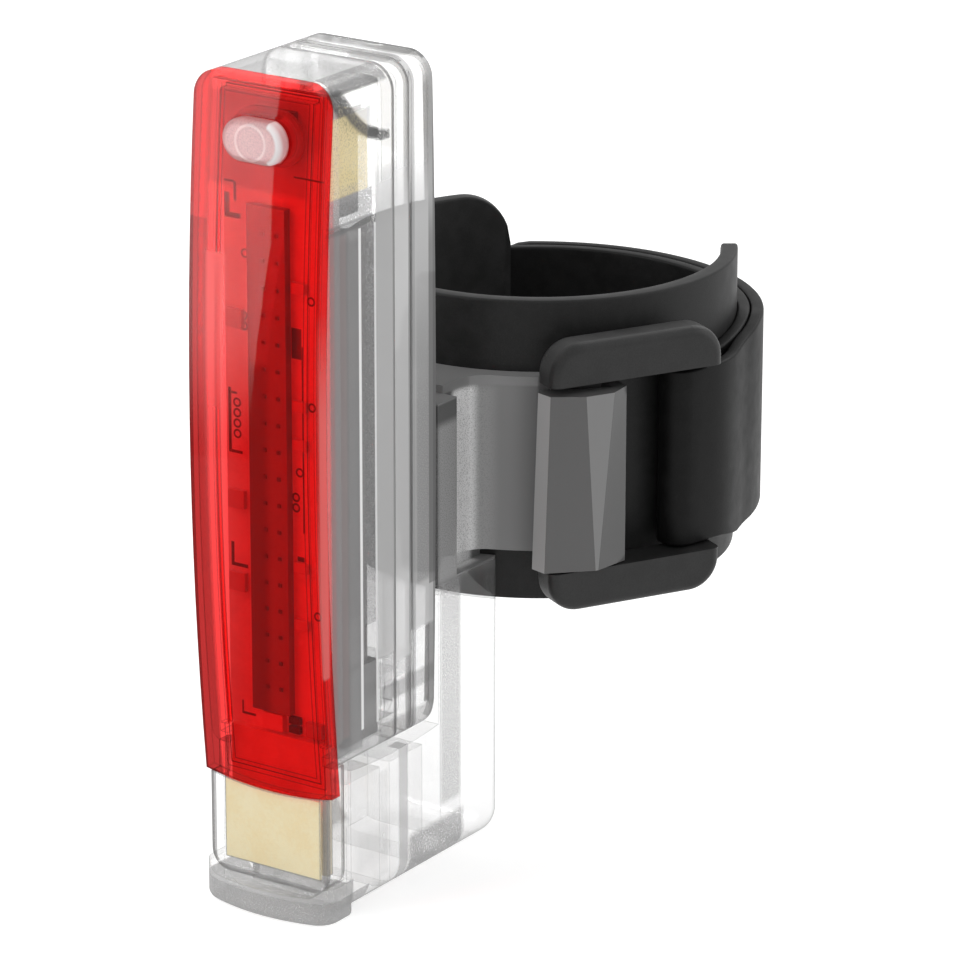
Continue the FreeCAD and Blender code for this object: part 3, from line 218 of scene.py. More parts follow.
# %% Helpers for patterns
def spot_mm(tree):
    """The place on the part in millimetres, as three sockets."""
    place = add(tree, "ShaderNodeTexCoord").outputs["Object"]
    large = add(tree, "ShaderNodeVectorMath", {0: place, "Scale": 1 / MM}, operation="SCALE")
    split = add(tree, "ShaderNodeSeparateXYZ", {0: large.outputs[0]})
    return split.outputs[0], split.outputs[1], split.outputs[2]


def noise(tree, grain_mm, detail=2.0):
    """Cloudy noise, 0 to 1, whose blotches are about grain_mm wide."""
    place = add(tree, "ShaderNodeTexCoord").outputs["Object"]
    made = add(tree, "ShaderNodeTexNoise", {
        "Vector": place, "Scale": 1 / (grain_mm * MM), "Detail": detail,
    })
    return made.outputs[0]


def rising(tree, value, low, high):
    """0 below low, 1 above high and smooth between. It falls instead where low is the higher one."""
    made = add(tree, "ShaderNodeMapRange", {
        "Value": value, "From Min": low, "From Max": high,
    }, interpolation_type="SMOOTHSTEP")
    return made.outputs[0]


def between(tree, value, low, high, soft):
    """1 from low to high, fading out over soft on both sides."""
    up = rising(tree, value, low - soft / 2, low + soft / 2)
    down = rising(tree, value, high + soft / 2, high - soft / 2)
    return maths(tree, "MULTIPLY", up, down)


def distance(tree, aside, above):
    """How far a place is from a middle, from how far it is to the side and above."""
    squared = maths(tree, "MULTIPLY", above, above)
    return maths(tree, "SQRT", maths(tree, "MULTIPLY_ADD", aside, aside, squared))


def blended(tree, share, first, second):
    """A colour between two, by a share from 0 to 1."""
    made = add(tree, "ShaderNodeMix", {0: share, 6: first, 7: second}, data_type="RGBA")
    return made.outputs[2]


print("pattern helpers ready")

# %% [markdown]
# A polished lens needs something to mirror. A tall white card stands beside the front of the light, leaning a
# little, and its edge draws the crisp border between the pale and the deep red half of the lens. It fades out
# towards its foot. The card only shows in mirror images: all other rays go through it, so it neither lights
# nor hides anything.

# %% A card to mirror
CARD_DISTANCE = 150.5
CARD_STRENGTH = 20.0
FOOT_FADES = (-35.5, -8)
AHEAD = Vector((-0.5919, -0.806, 0))
SIDEWAYS = Vector((0.806, -0.5919, 0))
CARD_OUTLINE = [(6, -52), (22.0, -52), (22.7, -35), (26.9, 0), (27.5, 35), (29.0, 60), (6, 60)]

bpy.ops.object.select_all(action="DESELECT")
bpy.ops.mesh.primitive_circle_add(vertices=len(CARD_OUTLINE), fill_type="NGON")
card = bpy.context.object
card.name = "mirror_card"
for vertex, (aside, height) in zip(card.data.vertices, CARD_OUTLINE):
    vertex.co = (AHEAD * CARD_DISTANCE + SIDEWAYS * aside + Vector((0, 0, height))) * MM
card_white, tree = start_material("card_white")
path = add(tree, "ShaderNodeLightPath")
clear = add(tree, "ShaderNodeBsdfTransparent")
fading = rising(tree, spot_mm(tree)[2], *FOOT_FADES)
shining = add(tree, "ShaderNodeEmission", {
    "Color": grey(1.0), "Strength": maths(tree, "MULTIPLY", fading, CARD_STRENGTH),
})
shown = add(tree, "ShaderNodeMixShader", {
    0: path.outputs["Is Glossy Ray"], 1: clear.outputs[0], 2: shining.outputs[0],
})
add(tree, "ShaderNodeOutputMaterial", {"Surface": shown.outputs[0]})
card.data.materials.append(card_white)
print("card", [round(v / MM) for v in card.dimensions], "mm")

# %% [markdown]
# ## Clear plastic
#
# Clear polycarbonate looks white where you look straight through it and grey along its edges, where you look
# through a lot of it. Real refraction would need thousands of light paths and would bend the parts inside
# out of sight. A see-through film does it better here. It is built up in layers, each with a density and a
# grey: a thin milky film, a darker one where the surface turns away, a fine line along every sharp edge, and
# the marks that follow. The mirror image of the studio lies over them. The film casts only a quarter of its
# shadow, because clear plastic lets most of the light through to the parts inside.

# %% Helpers for layers
CORNER_X = 4.3
CORNER_Z = 34.46
GRAIN_CONTRAST = 2.4
GRAIN_SHIFT = -0.3
EDGE_LEANS = (0.99, 0.8)
THINNEST = 0.001


def from_core(tree, at_x, at_z):
    """The distance to the light's straight-sided core. It is 2.2 mm all over the shells' outside."""
    beside = maths(tree, "SUBTRACT", maths(tree, "ABSOLUTE", at_x), CORNER_X)
    above = maths(tree, "SUBTRACT", at_z, CORNER_Z)
    return distance(tree, maths(tree, "MAXIMUM", beside, 0.0), maths(tree, "MAXIMUM", above, 0.0))


def patch(x=None, y=None, z=None, side=None, rim=None, soft=0.25, share=1.0, grain=0.0, fade=None):
    """Makes a mask from spans in millimetres. side is a span of the distance to the middle plane, rim one of
    the distance to the core, and fade the two heights between which the mask comes in."""
    def cover(tree):
        at_x, at_y, at_z = spot_mm(tree)
        spans = [(at_x, x), (at_y, y), (at_z, z)]
        if side:
            spans.append((maths(tree, "ABSOLUTE", at_x), side))
        if rim:
            spans.append((from_core(tree, at_x, at_z), rim))
        mask = 1.0
        for value, span in spans:
            if span:
                mask = maths(tree, "MULTIPLY", mask, between(tree, value, *span, soft))
        if grain:
            cloud = noise(tree, grain, 4.0)
            sprayed = maths(tree, "MULTIPLY_ADD", cloud, GRAIN_CONTRAST, GRAIN_SHIFT, clamp=True)
            mask = maths(tree, "MULTIPLY", mask, sprayed)
        if fade:
            mask = maths(tree, "MULTIPLY", mask, rising(tree, at_z, *fade))
        return maths(tree, "MULTIPLY", mask, share)
    return cover


def circle_line(middle, radius, width, wide=1.0, soft=0.1, side_view=False, **limits):
    """A mask for a ring, seen from the front or from the side, that is wide times as wide as high."""
    def cover(tree):
        at_x, at_y, at_z = spot_mm(tree)
        aside = maths(tree, "SUBTRACT", at_y if side_view else at_x, middle[0])
        aside = maths(tree, "DIVIDE", aside, wide)
        apart = distance(tree, aside, maths(tree, "SUBTRACT", at_z, middle[1]))
        ring = between(tree, apart, radius - width / 2, radius + width / 2, soft)
        return maths(tree, "MULTIPLY", ring, patch(**limits)(tree))
    return cover


def edge_line(tree, width_mm):
    """1 along sharp edges: there a rounded-off normal leans away from the real one."""
    rounded = add(tree, "ShaderNodeBevel", {"Radius": width_mm * MM}, samples=4)
    real = add(tree, "ShaderNodeNewGeometry")
    lean = add(tree, "ShaderNodeVectorMath", {
        0: rounded.outputs[0], 1: real.outputs["Normal"],
    }, operation="DOT_PRODUCT")
    return rising(tree, lean.outputs["Value"], *EDGE_LEANS)


def lay(tree, under, cover, shade):
    """Lays a coat over the coats under it. Coats together are a density and a colour."""
    density, colour = under
    left = maths(tree, "SUBTRACT", 1.0, cover)
    density = maths(tree, "MULTIPLY_ADD", density, left, cover)
    share = maths(tree, "DIVIDE", cover, maths(tree, "MAXIMUM", density, THINNEST))
    return density, blended(tree, share, colour, shade)


def dyed(shade, hue=(1, 1, 1)):
    """A colour from a grey and the plastic's hue. A shade that is a colour stays as it is."""
    if isinstance(shade, tuple):
        return (*shade, 1)
    return (*[shade * part for part in hue], 1)


print("layer helpers ready")

# %% A recipe for clear plastic
LET_THROUGH = 0.75


def clear_plastic(name, film=0.05, body=0.9, edge=0.9, power=4.0, dark=0.2, line=0.16, line_share=0.65,
                  tint=(1, 1, 1), hue=(1, 1, 1), shine=0.03, rough=0.05, marks=()):
    """Clear plastic. film is its density straight on, edge at a glancing angle, line_share on sharp edges."""
    material, tree = start_material(name)
    facing = add(tree, "ShaderNodeLayerWeight", {"Blend": 0.5}).outputs["Facing"]
    dust = maths(tree, "MULTIPLY_ADD", noise(tree, 0.15, 3.0), film, film * 0.5)
    glancing = maths(tree, "MULTIPLY", maths(tree, "POWER", facing, power), edge)
    coats = lay(tree, (dust, dyed(body, hue)), glancing, dyed(dark, hue))
    lines = maths(tree, "MULTIPLY", edge_line(tree, line), line_share)
    coats = lay(tree, coats, lines, dyed(dark, hue))
    for cover, shade in marks:
        coats = lay(tree, coats, cover(tree), dyed(shade, hue))
    density, colour = coats
    shadow = add(tree, "ShaderNodeLightPath").outputs["Is Shadow Ray"]
    kept = maths(tree, "MULTIPLY_ADD", shadow, -LET_THROUGH, 1.0)
    density = maths(tree, "MULTIPLY", density, kept)
    solid = add(tree, "ShaderNodeBsdfPrincipled", {"Base Color": colour, "Roughness": 0.35})
    solid.inputs["Specular IOR Level"].default_value = 0.0
    through = add(tree, "ShaderNodeBsdfTransparent", {"Color": (*tint, 1)})
    layer = add(tree, "ShaderNodeMixShader", {0: density, 1: through.outputs[0], 2: solid.outputs[0]})
    mirror = add(tree, "ShaderNodeBsdfGlossy", {"Color": grey(1.0), "Roughness": rough})
    mirrored = maths(tree, "MULTIPLY_ADD", maths(tree, "POWER", facing, 5.0), 0.5, shine)
    shown = add(tree, "ShaderNodeMixShader", {0: mirrored, 1: layer.outputs[0], 2: mirror.outputs[0]})
    add(tree, "ShaderNodeOutputMaterial", {"Surface": shown.outputs[0]})
    return material


def dress(node, material):
    """Puts a material on every slot of a carried-over part."""
    for slot in parts[node].material_slots:
        slot.material = material


print("recipe ready")

# %% [markdown]
# The clear sides of such a light aren't empty, and much of what shows on them is painted light and shade.
# Where the wall is seen edge on there is a grey band of painted shade, a rounded corner draws a thin painted
# highlight, and each seam between two shells draws a dark line. The top is frosted. Each mark is a mask and a
# shade, and a later one lies over the earlier ones.

# %% Marks on the housing
OUTSIDE = (1.95, 2.3)
RIGHT = (0, 7)
TOP_FADE = (31, 23)
BOARD_SPAN = (-20.5, 24.6)
CELL_SPAN = (-19, 24.2)
TAPE_YELLOW = (0.93, 0.78, 0.42)
ARC_MIDDLE = (-29.5, 38.5)
ARC_WIDE = 1.2
SEAM_SOFT = 0.05


def on_side(y, z, **more):
    """A mask on the outside of the shells, on the right."""
    return patch(rim=OUTSIDE, x=RIGHT, y=y, z=z, **more)


housing_marks_and_painted_light = [
    # frost on the top, and painted shade on its rounded right edge
    (patch(x=(-4.6, 4.3), y=(-39.0, -31.3), z=(36.5, 36.8), soft=0.5, share=0.7, grain=0.1), 0.5),
    (patch(x=(4.3, 6.15), y=(-38.6, -31.4), z=(35.3, 36.8), share=0.75, grain=0.12), 0.2),
    # grey beside the board, with a painted reddish reflection
    (on_side((-39.9, -35.8), BOARD_SPAN, share=0.55), 0.3),
    (on_side((-39.9, -37.4), BOARD_SPAN, soft=0.5, share=0.6), 0.16),
    (on_side((-38.5, -37.6), CELL_SPAN, soft=0.5, share=0.35), (0.40, 0.27, 0.26)),
    # grey beside the cell, with a painted highlight line on both sides
    (on_side((-35.6, -33.7), (-10, 24.2), soft=0.2, share=0.5), 0.28),
    (on_side((-35.9, -35.55), CELL_SPAN, soft=0.1, share=0.95), 1.0),
    (on_side((-33.75, -33.45), CELL_SPAN, soft=0.1, share=0.9), 0.9),
    (patch(rim=OUTSIDE, y=(-33.5, -30.9), z=(-13.5, 40), soft=0.4, share=0.85, fade=TOP_FADE), 0.62),
    # the yellow tape and what is under it
    (on_side((-39.9, -34.6), (27.3, 33.9), soft=0.3, share=0.75, grain=0.15), TAPE_YELLOW),
    (on_side((-39.9, -34.0), (24.9, 27.3), soft=0.2, share=0.6, grain=0.15), 0.36),
    (on_side((-39.9, -34.0), (24.3, 25.1), share=0.6), 0.14),
    # a dark arc over the tape, and the white above it
    (circle_line(ARC_MIDDLE, 7.7, 0.9, wide=ARC_WIDE, soft=0.4, side_view=True, x=(5, 7),
                 y=(-38.9, -31.5), z=(30.8, 36.0), share=0.95, grain=0.15), 0.1),
    (circle_line(ARC_MIDDLE, 3.6, 7.2, wide=ARC_WIDE, soft=0.4, side_view=True, x=(5, 7),
                 y=(-38.9, -34.2), z=(28, 34.0), share=0.85), 1.0),
    # the seam
    (patch(rim=OUTSIDE, y=(-31.15, -30.7), soft=SEAM_SOFT, share=0.6), 0.2),
]
print(len(housing_marks_and_painted_light), "marks on the housing")

# %% Marks on the frame and the cover
CORNER_SOFT = 0.12

frame_marks = [
    (patch(rim=OUTSIDE, z=(-14.5, 40), soft=0.4, share=0.88, fade=TOP_FADE), 0.85),
    (patch(rim=OUTSIDE, z=(-6.5, 30), soft=1.5, share=0.8, fade=(20, 8)), 0.45),
    (patch(rim=OUTSIDE, y=(-28.95, -28.6), soft=SEAM_SOFT, share=0.6), 0.25),
]
cover_marks_and_painted_shade = [
    (patch(rim=OUTSIDE, z=(-12.5, 40), soft=0.4, share=0.88, fade=TOP_FADE), 0.75),
    (patch(rim=OUTSIDE, y=(-27.9, -25.4), z=(-8.5, 30), soft=0.6, share=0.85, grain=0.1, fade=(24, 6)), 0.2),
    # the seam, and painted shade on the rounded corner behind it
    (patch(rim=(1.6, 2.3), y=(-28.8, -28.0), soft=CORNER_SOFT, share=0.55), 0.32),
    (patch(rim=(1.5, 2.3), y=(-26.05, -24.0), soft=CORNER_SOFT, share=0.5), 0.5),
    (patch(rim=(1.2, 2.3), y=(-25.45, -24.0), soft=0.1, share=0.8), 0.2),
    (patch(rim=(1.5, 2.3), y=(-26.05, -24.0), z=(-9, 30), soft=CORNER_SOFT, share=0.75, fade=(27, 20)), 0.17),
    (patch(y=(-25.95, -24.0), z=(36.1, 36.8), soft=0.1, share=0.7), 0.12),
]
foot_marks_and_painted_glare = [
    # the cross bar, a painted glare above it, and the bottom rims
    (on_side((-33.3, -24.9), (-17.7, -16.2), soft=0.5, share=0.6), 0.2),
    (on_side((-33.0, -28.7), (-15.9, -13.5), soft=0.5, share=0.5, grain=0.12), 0.7),
    (on_side((-33.4, -25.4), (-21.4, -19.5), soft=0.5, share=0.5), 0.2),
]
print(len(frame_marks), len(cover_marks_and_painted_shade), len(foot_marks_and_painted_glare), "marks on the frame, the cover and their foot")

# %% Clear shells
PLUG_FRONT = (-40.3, -39.75)

plug_marks = [
    (patch(side=(5.5, 6.1), y=PLUG_FRONT, soft=0.1, share=0.6), 0.2),
    (patch(side=(5.9, 6.1), y=(-38.2, -37.6), soft=0.1, share=0.5), 0.2),
    (patch(y=PLUG_FRONT, z=(-32.8, -32.2), soft=0.15, share=0.6), 0.25),
]
dress("light_housing", clear_plastic("clear_housing", marks=housing_marks_and_painted_light + foot_marks_and_painted_glare))
dress("rear_frame", clear_plastic("clear_frame", marks=frame_marks + foot_marks_and_painted_glare))
dress("back_cover", clear_plastic("clear_cover", marks=cover_marks_and_painted_shade + foot_marks_and_painted_glare))
dress("plug_body", clear_plastic("clear_plug", film=0.03, line=0.25, line_share=0.9, marks=plug_marks))
dress("button_light_guide", clear_plastic("clear_guide", film=0.03, line=0.25, line_share=0.7))
print("clear shells dressed")

# %% [markdown]
# ## The red lens
#
# The lens is the same plastic with red dye in it. Its front is bowed, so a mark on it is kept to a depth
# below the bowed face, and not to a depth in the room. The left rim is painted darker, with the shade it
# shows where it is seen edge on, and the recess behind the lens shows as three fine lines.

# %% Red lens
LENS_FACE_Y = -41.6
LENS_MIDDLE_Z = 6.0
LENS_BOW = 0.00144
LENS_FRONT = (-0.5, 0.5)
LENS_BEHIND = (0.7, 3.0)
LENS_RIM = (-6.8, -4.75)
RECESS_SIDE = 4.6
RECESS_END = 29.2
RECESS_LINES = [(0.0, 0.8), (-0.4, 0.5), (0.45, 0.45)]
LINE_WIDTH = 0.1
# the colours of a painted pink highlight and of painted red light
PINK_EDGE_HIGHLIGHT = (0.95, 0.36, 0.34)
PAINTED_RED_GLOW = (1.0, 0.2, 0.2)


def recess_lines(tree):
    """Fine lines along the recess behind the lens, at three steps outwards and inwards."""
    at_x, at_y, at_z = spot_mm(tree)
    beside = maths(tree, "SUBTRACT", maths(tree, "ABSOLUTE", at_x), RECESS_SIDE)
    along = maths(tree, "ABSOLUTE", maths(tree, "SUBTRACT", at_z, LENS_MIDDLE_Z))
    outwards = maths(tree, "MAXIMUM", beside, maths(tree, "SUBTRACT", along, RECESS_END))
    lines = 0.0
    for place, share in RECESS_LINES:
        line = between(tree, outwards, place - LINE_WIDTH / 2, place + LINE_WIDTH / 2, 0.06)
        lines = maths(tree, "MAXIMUM", lines, maths(tree, "MULTIPLY", line, share))
    return lines


def in_lens(cover, low, high):
    """Keeps a mark to a depth in the bowed lens, where 0 is its front face and 1.1 the face behind."""
    def kept(tree):
        at_x, at_y, at_z = spot_mm(tree)
        off_middle = maths(tree, "SUBTRACT", at_z, LENS_MIDDLE_Z)
        bow = maths(tree, "MULTIPLY", maths(tree, "MULTIPLY", off_middle, off_middle), LENS_BOW)
        depth = maths(tree, "SUBTRACT", maths(tree, "SUBTRACT", at_y, LENS_FACE_Y), bow)
        return maths(tree, "MULTIPLY", cover(tree), between(tree, depth, low, high, 0.1))
    return kept


lens_marks_and_painted_light = [
    # painted shade on the left rim and round the button
    (in_lens(patch(x=LENS_RIM, z=(-26, 24.5), share=0.6), *LENS_FRONT), 0.08),
    (in_lens(patch(x=LENS_RIM, z=(24.5, 38), share=0.45), *LENS_FRONT), 0.15),
    (in_lens(patch(x=(-4.8, 5.0), z=(27.5, 35.2), soft=0.8, share=0.3), *LENS_FRONT), 0.15),
    # a painted pink highlight down the right edge, and painted red light down the left
    (patch(x=(6.3, 6.8), y=(-41.5, -40.3), z=(-13, 18), soft=0.4, share=0.4, fade=(20, 8)), PINK_EDGE_HIGHLIGHT),
    (in_lens(patch(x=(-4.9, -2.9), z=(-23, 22), soft=0.8, share=0.3, fade=(-16, 18)), *LENS_FRONT), PAINTED_RED_GLOW),
    (in_lens(recess_lines, *LENS_BEHIND), 0.1),
]
dress("front_lens", clear_plastic(
    "red_polycarbonate", film=0.03, body=0.8, edge=0.4, power=5.0, dark=0.3, line=0.2, line_share=0.5,
    tint=(0.99, 0.24, 0.24), hue=(1.0, 0.03, 0.03), shine=0.004, rough=0.0, marks=lens_marks_and_painted_light,
))
print("lens dressed with", len(lens_marks_and_painted_light), "marks")

# %% [markdown]
# ## The bracket
#
# The bracket is clear in its foot and its block, and frosted grey round the neck, the arms and the hook. The
# hook plate has facets: those that turn to either side get painted light, paler than the main one between
# them, so their mask asks for the direction of the face besides the place. The neck's core, which faces away
# from the lamps, is painted pale as well.

# %% Bracket
def facet(direction, low, high):
    """A mask for the facet of the hook plate that turns towards a direction."""
    def cover(tree):
        on_plate = patch(x=(10.5, 20), y=(-30, -14.2), z=(-10, 8))(tree)
        real = add(tree, "ShaderNodeNewGeometry").outputs["True Normal"]
        lean = add(tree, "ShaderNodeVectorMath", {0: real, 1: direction}, operation="DOT_PRODUCT")
        return maths(tree, "MULTIPLY", rising(tree, lean.outputs["Value"], low, high), on_plate)
    return cover


NECK_SPAN = (-9.5, 6.2)
BLOCK_SIDE = (5.5, 6.8)
bracket_marks_and_painted_light = [
    # all that is frosted, with the neck, its shade and painted light on its core, which faces away from the
    # lamps
    (patch(y=(-25.4, 30), z=(-9.5, 20), share=0.85), 0.13),
    (patch(y=(-24.9, -20.5), z=(-9.5, 4.5), side=(4.6, 6.8), soft=1.0, share=0.8, grain=0.1), 0.5),
    (patch(x=(5.6, 9.8), y=(-19.5, -13), z=(-9.5, 7.3), soft=3.0, share=0.85), 0.26),
    (patch(x=(5.0, 7.0), y=(-21, -13), z=NECK_SPAN, soft=1.6, share=0.5, grain=0.1), 0.5),
    (patch(y=(-20.7, -18.0), z=NECK_SPAN, side=(4.6, 5.9), soft=0.8, share=0.98, grain=0.1), 1.0),
    (patch(x=(0, 10.5), y=(-25, -12), z=(6.3, 7.4), share=0.8), 0.28),
    # painted light on the hook plate's facets, by the way they face
    (facet((0.871, -0.491, 0), 0.97, 0.985), 0.24),
    (facet((-0.26, -0.966, 0), 0.93, 0.97), 0.42),
    # the nose under the plug
    (patch(y=(-50, -35), z=(-36, -33.1), share=0.7, grain=0.1), 0.38),
    # upright strips and sprayed patches on the block's sides
    (patch(y=(-30.7, -29.4), z=(-34.5, -21.5), side=BLOCK_SIDE, soft=0.3, share=0.5), 0.38),
    (patch(y=(-33.5, -32.3), z=(-33, -23.5), side=BLOCK_SIDE, soft=0.5, share=0.2), 0.5),
    (patch(y=(-24.5, -21.6), z=(-29.5, -9.5), side=BLOCK_SIDE, soft=0.8, share=0.6, grain=0.12), 0.38),
    (patch(y=(-29.2, -21.2), z=(-35.4, -30.8), side=BLOCK_SIDE, soft=0.9, share=0.8, grain=0.15), 0.28),
    (patch(y=(-37, -32), z=(-31.5, -28.4), side=BLOCK_SIDE, soft=1.8, share=0.3), 0.5),
]
dress("mount_cradle", clear_plastic("frosted_bracket", line=0.12, line_share=0.45, marks=bracket_marks_and_painted_light))
print("bracket dressed with", len(bracket_marks_and_painted_light), "marks")

# %% [markdown]
# ## Solid finishes
#
# Rubber, moulded nylon, foil, tape and plating differ in three numbers: how dark they are, how sharp their
# shine is and how fine their grain is. One recipe takes all three.

# %% A recipe for solid finishes
CLOUD_SIZE = 12
ROUGH_DRIFT = 0.1


def solid_finish(name, dark, pale, rough, grain_mm, bump=0.1, metal=0.0, shine=0.5, coats=()):
    """A finish whose colour drifts between two, with a fine grain, and coats of other colours on it."""
    material, tree = start_material(name)
    cloud = noise(tree, grain_mm * CLOUD_SIZE, 3.0)
    fine = noise(tree, grain_mm)
    share = maths(tree, "MULTIPLY_ADD", fine, 0.4, maths(tree, "MULTIPLY", cloud, 0.6))
    colour = blended(tree, rising(tree, share, 0.35, 0.65), dyed(dark), dyed(pale))
    for cover, shade in coats:
        colour = blended(tree, cover(tree), colour, dyed(shade))
    roughness = maths(tree, "MULTIPLY_ADD", cloud, ROUGH_DRIFT * 2, rough - ROUGH_DRIFT)
    relief = add(tree, "ShaderNodeBump", {"Height": fine, "Strength": bump, "Distance": grain_mm * MM * 0.3})
    surface = add(tree, "ShaderNodeBsdfPrincipled", {
        "Base Color": colour, "Roughness": roughness, "Normal": relief.outputs[0],
    })
    surface.inputs["Metallic"].default_value = metal
    surface.inputs["Specular IOR Level"].default_value = shine
    add(tree, "ShaderNodeOutputMaterial", {"Surface": surface.outputs[0]})
    return material


print("finish recipe ready")

# %% [markdown]
# The board shows dark copper here and there: short traces with a bend, round pads in a row and a few square
# ones. They are generic, drawn from three shapes and laid out where such a board has them.

# %% Traces on the board
BOARD_FACE = (-38.2, -37.8)
RUNS = [
    (-5.4, -4.9, 24.0, 25.9), (-5.4, -3.8, 23.8, 24.25), (-5.4, -4.4, 26.8, 27.0), (-4.45, -4.2, 25.3, 26.9),
    (-5.3, -5.0, 3.7, 9.3), (-5.0, -3.9, 3.7, 3.95), (-5.0, -4.4, 8.8, 9.0), (-5.2, -4.9, -6.2, -4.1),
    (-5.2, -3.5, -6.2, -5.9), (1.6, 4.6, 28.1, 28.25), (1.6, 2.3, -4.9, -4.1), (2.2, 2.35, -2.0, 14.0),
    (-4.2, -2.9, -19.2, -19.0), (-4.3, -4.15, -19.2, -18.0), (1.2, 2.2, 12.9, 15.5),
]
PADS = [
    (-4.4, 8.1), (-4.4, 7.2), (-4.4, 6.3), (-4.4, 5.4), (-3.6, 15.7), (-3.6, 14.8),
    (1.9, 3.2), (1.5, 1.0), (1.5, 0.1), (-3.4, 21.0), (3.2, 18.0), (3.2, 9.0), (3.6, -9.0),
]
PAD_INNER = 0.24
PAD_OUTER = 0.40
INK_SOFT = 0.08


def traces(tree):
    """1 where the board's face shows a run, given by its two sides and two ends, or a round pad."""
    at_x, at_y, at_z = spot_mm(tree)
    ink = 0.0
    for left, right, low, high in RUNS:
        within = between(tree, at_x, left, right, INK_SOFT)
        run = maths(tree, "MULTIPLY", within, between(tree, at_z, low, high, INK_SOFT))
        ink = maths(tree, "MAXIMUM", ink, run)
    for across, up in PADS:
        apart = distance(tree, maths(tree, "SUBTRACT", at_x, across), maths(tree, "SUBTRACT", at_z, up))
        ink = maths(tree, "MAXIMUM", ink, between(tree, apart, PAD_INNER, PAD_OUTER, INK_SOFT))
    return maths(tree, "MULTIPLY", ink, between(tree, at_y, *BOARD_FACE, 0.05))


print(len(RUNS), "runs and", len(PADS), "pads")

# %% Rubber, nylon and metal
rubber = solid_finish("black_rubber", 0.005, 0.009, 0.5, 0.12, bump=0.25, shine=0.12)
liner_rubber = solid_finish("liner_rubber", 0.012, 0.018, 0.5, 0.12, bump=0.2, shine=0.2)
nylon = solid_finish("black_nylon", 0.015, 0.022, 0.45, 0.15, bump=0.2, shine=0.3)
foil = solid_finish("cell_foil", (0.20, 0.19, 0.19), (0.30, 0.28, 0.28), 0.35, 0.3, bump=0.15, metal=0.3)
nickel = solid_finish("nickel", (0.5, 0.49, 0.47), (0.6, 0.59, 0.57), 0.3, 0.2, metal=0.9)
pale_gold = solid_finish("pale_gold", (0.97, 0.80, 0.42), (1.0, 0.88, 0.54), 0.4, 0.25)
contact_gold = solid_finish("contact_gold", (0.8, 0.58, 0.25), (0.9, 0.7, 0.36), 0.3, 0.2, metal=0.9)
dress("buckle_ring", nylon)
dress("battery_cell", foil)
dress("cell_tabs", nickel)
dress("gold_plate", pale_gold)
dress("plug_contacts", contact_gold)
print("rubber, nylon and metal dressed")

# %% Parts on and behind the board
tape_coats = [
    (patch(z=(20, 27.2), soft=0.1), (0.40, 0.39, 0.40)),
    (patch(z=(20, 25.9), soft=0.3), 0.13),
]
led_coats = [
    (patch(x=(-2.7, -1.35), z=(11, 30), soft=1.5, share=0.4), (0.42, 0.30, 0.30)),
    (patch(x=(-2.8, -0.8), z=(-19.5, 12), soft=1.2, share=0.75), (0.11, 0.06, 0.06)),
]
small_coats = [
    (patch(z=(-17.2, 22)), (0.72, 0.70, 0.70)),
    (patch(x=(-6, 0.45), z=(-22, -17.2)), (0.88, 0.82, 0.80)),
    (patch(x=(2.4, 6), z=(-22, -17.2)), (0.55, 0.50, 0.50)),
]
tape = solid_finish("yellow_tape", (0.72, 0.60, 0.22), (1.0, 0.92, 0.62), 0.45, 0.12, bump=0.2,
                    coats=tape_coats)
white_mask = solid_finish("white_mask", 0.86, 0.97, 0.4, 0.3, coats=[(traces, (0.08, 0.06, 0.06))])
strip = solid_finish("led_carrier", (0.26, 0.17, 0.17), (0.32, 0.22, 0.22), 0.4, 0.3, coats=led_coats)
dress("protection_board", tape)
dress("circuit_board", white_mask)
dress("led_strip", strip)
dress("led_chips", solid_finish("led_face", (0.07, 0.03, 0.03), (0.11, 0.05, 0.05), 0.4, 0.1))
dress("board_components", solid_finish("small_parts", 0.02, 0.05, 0.4, 0.1, coats=small_coats))
dress("cell_tray", solid_finish("grey_tray", 0.2, 0.27, 0.5, 0.1))
dress("push_switch", solid_finish("switch_case", 0.1, 0.2, 0.4, 0.1))
dress("contact_board", solid_finish("contact_board", (0.80, 0.72, 0.55), (0.90, 0.83, 0.68), 0.45, 0.2))
print("board and what it carries dressed")

# %% Button
BUTTON_Z = 31.56

button_marks = [
    (circle_line((0, BUTTON_Z), 1.45, 0.2, share=0.35), (0.95, 0.85, 0.85)),
    (circle_line((0, BUTTON_Z), 1.2, 0.12, share=0.4), (0.42, 0.25, 0.25)),
    (circle_line((0.95, BUTTON_Z), 1.8, 0.55, soft=0.3, x=(1.6, 3.6), share=0.95), (1.0, 0.97, 0.97)),
]
dress("button", clear_plastic(
    "button_silicone", film=0.7, body=0.72, edge=0.5, dark=0.5, line=0.3, line_share=0.5,
    hue=(1.0, 0.6, 0.6), shine=0.02, rough=0.2, marks=button_marks,
))
print("button dressed")

# %% [markdown]
# ## The rubber strap
#
# The strap is one moulded band. It starts at a bead in the bracket, goes round the post, folds back over the
# ring's bar and ends in a free tail on top of itself. The way to model such a band is to draw its section
# once and spin it: each spin takes the last section round the centre of the next bend.

# %% Helpers for modelling
SMOOTH_BELOW = 35


def bend_place(radius, degrees):
    """A place on a circle round the post, 0 degrees towards the light."""
    angle = math.radians(degrees)
    return Vector((radius * math.sin(angle), -radius * math.cos(angle), 0)) * MM


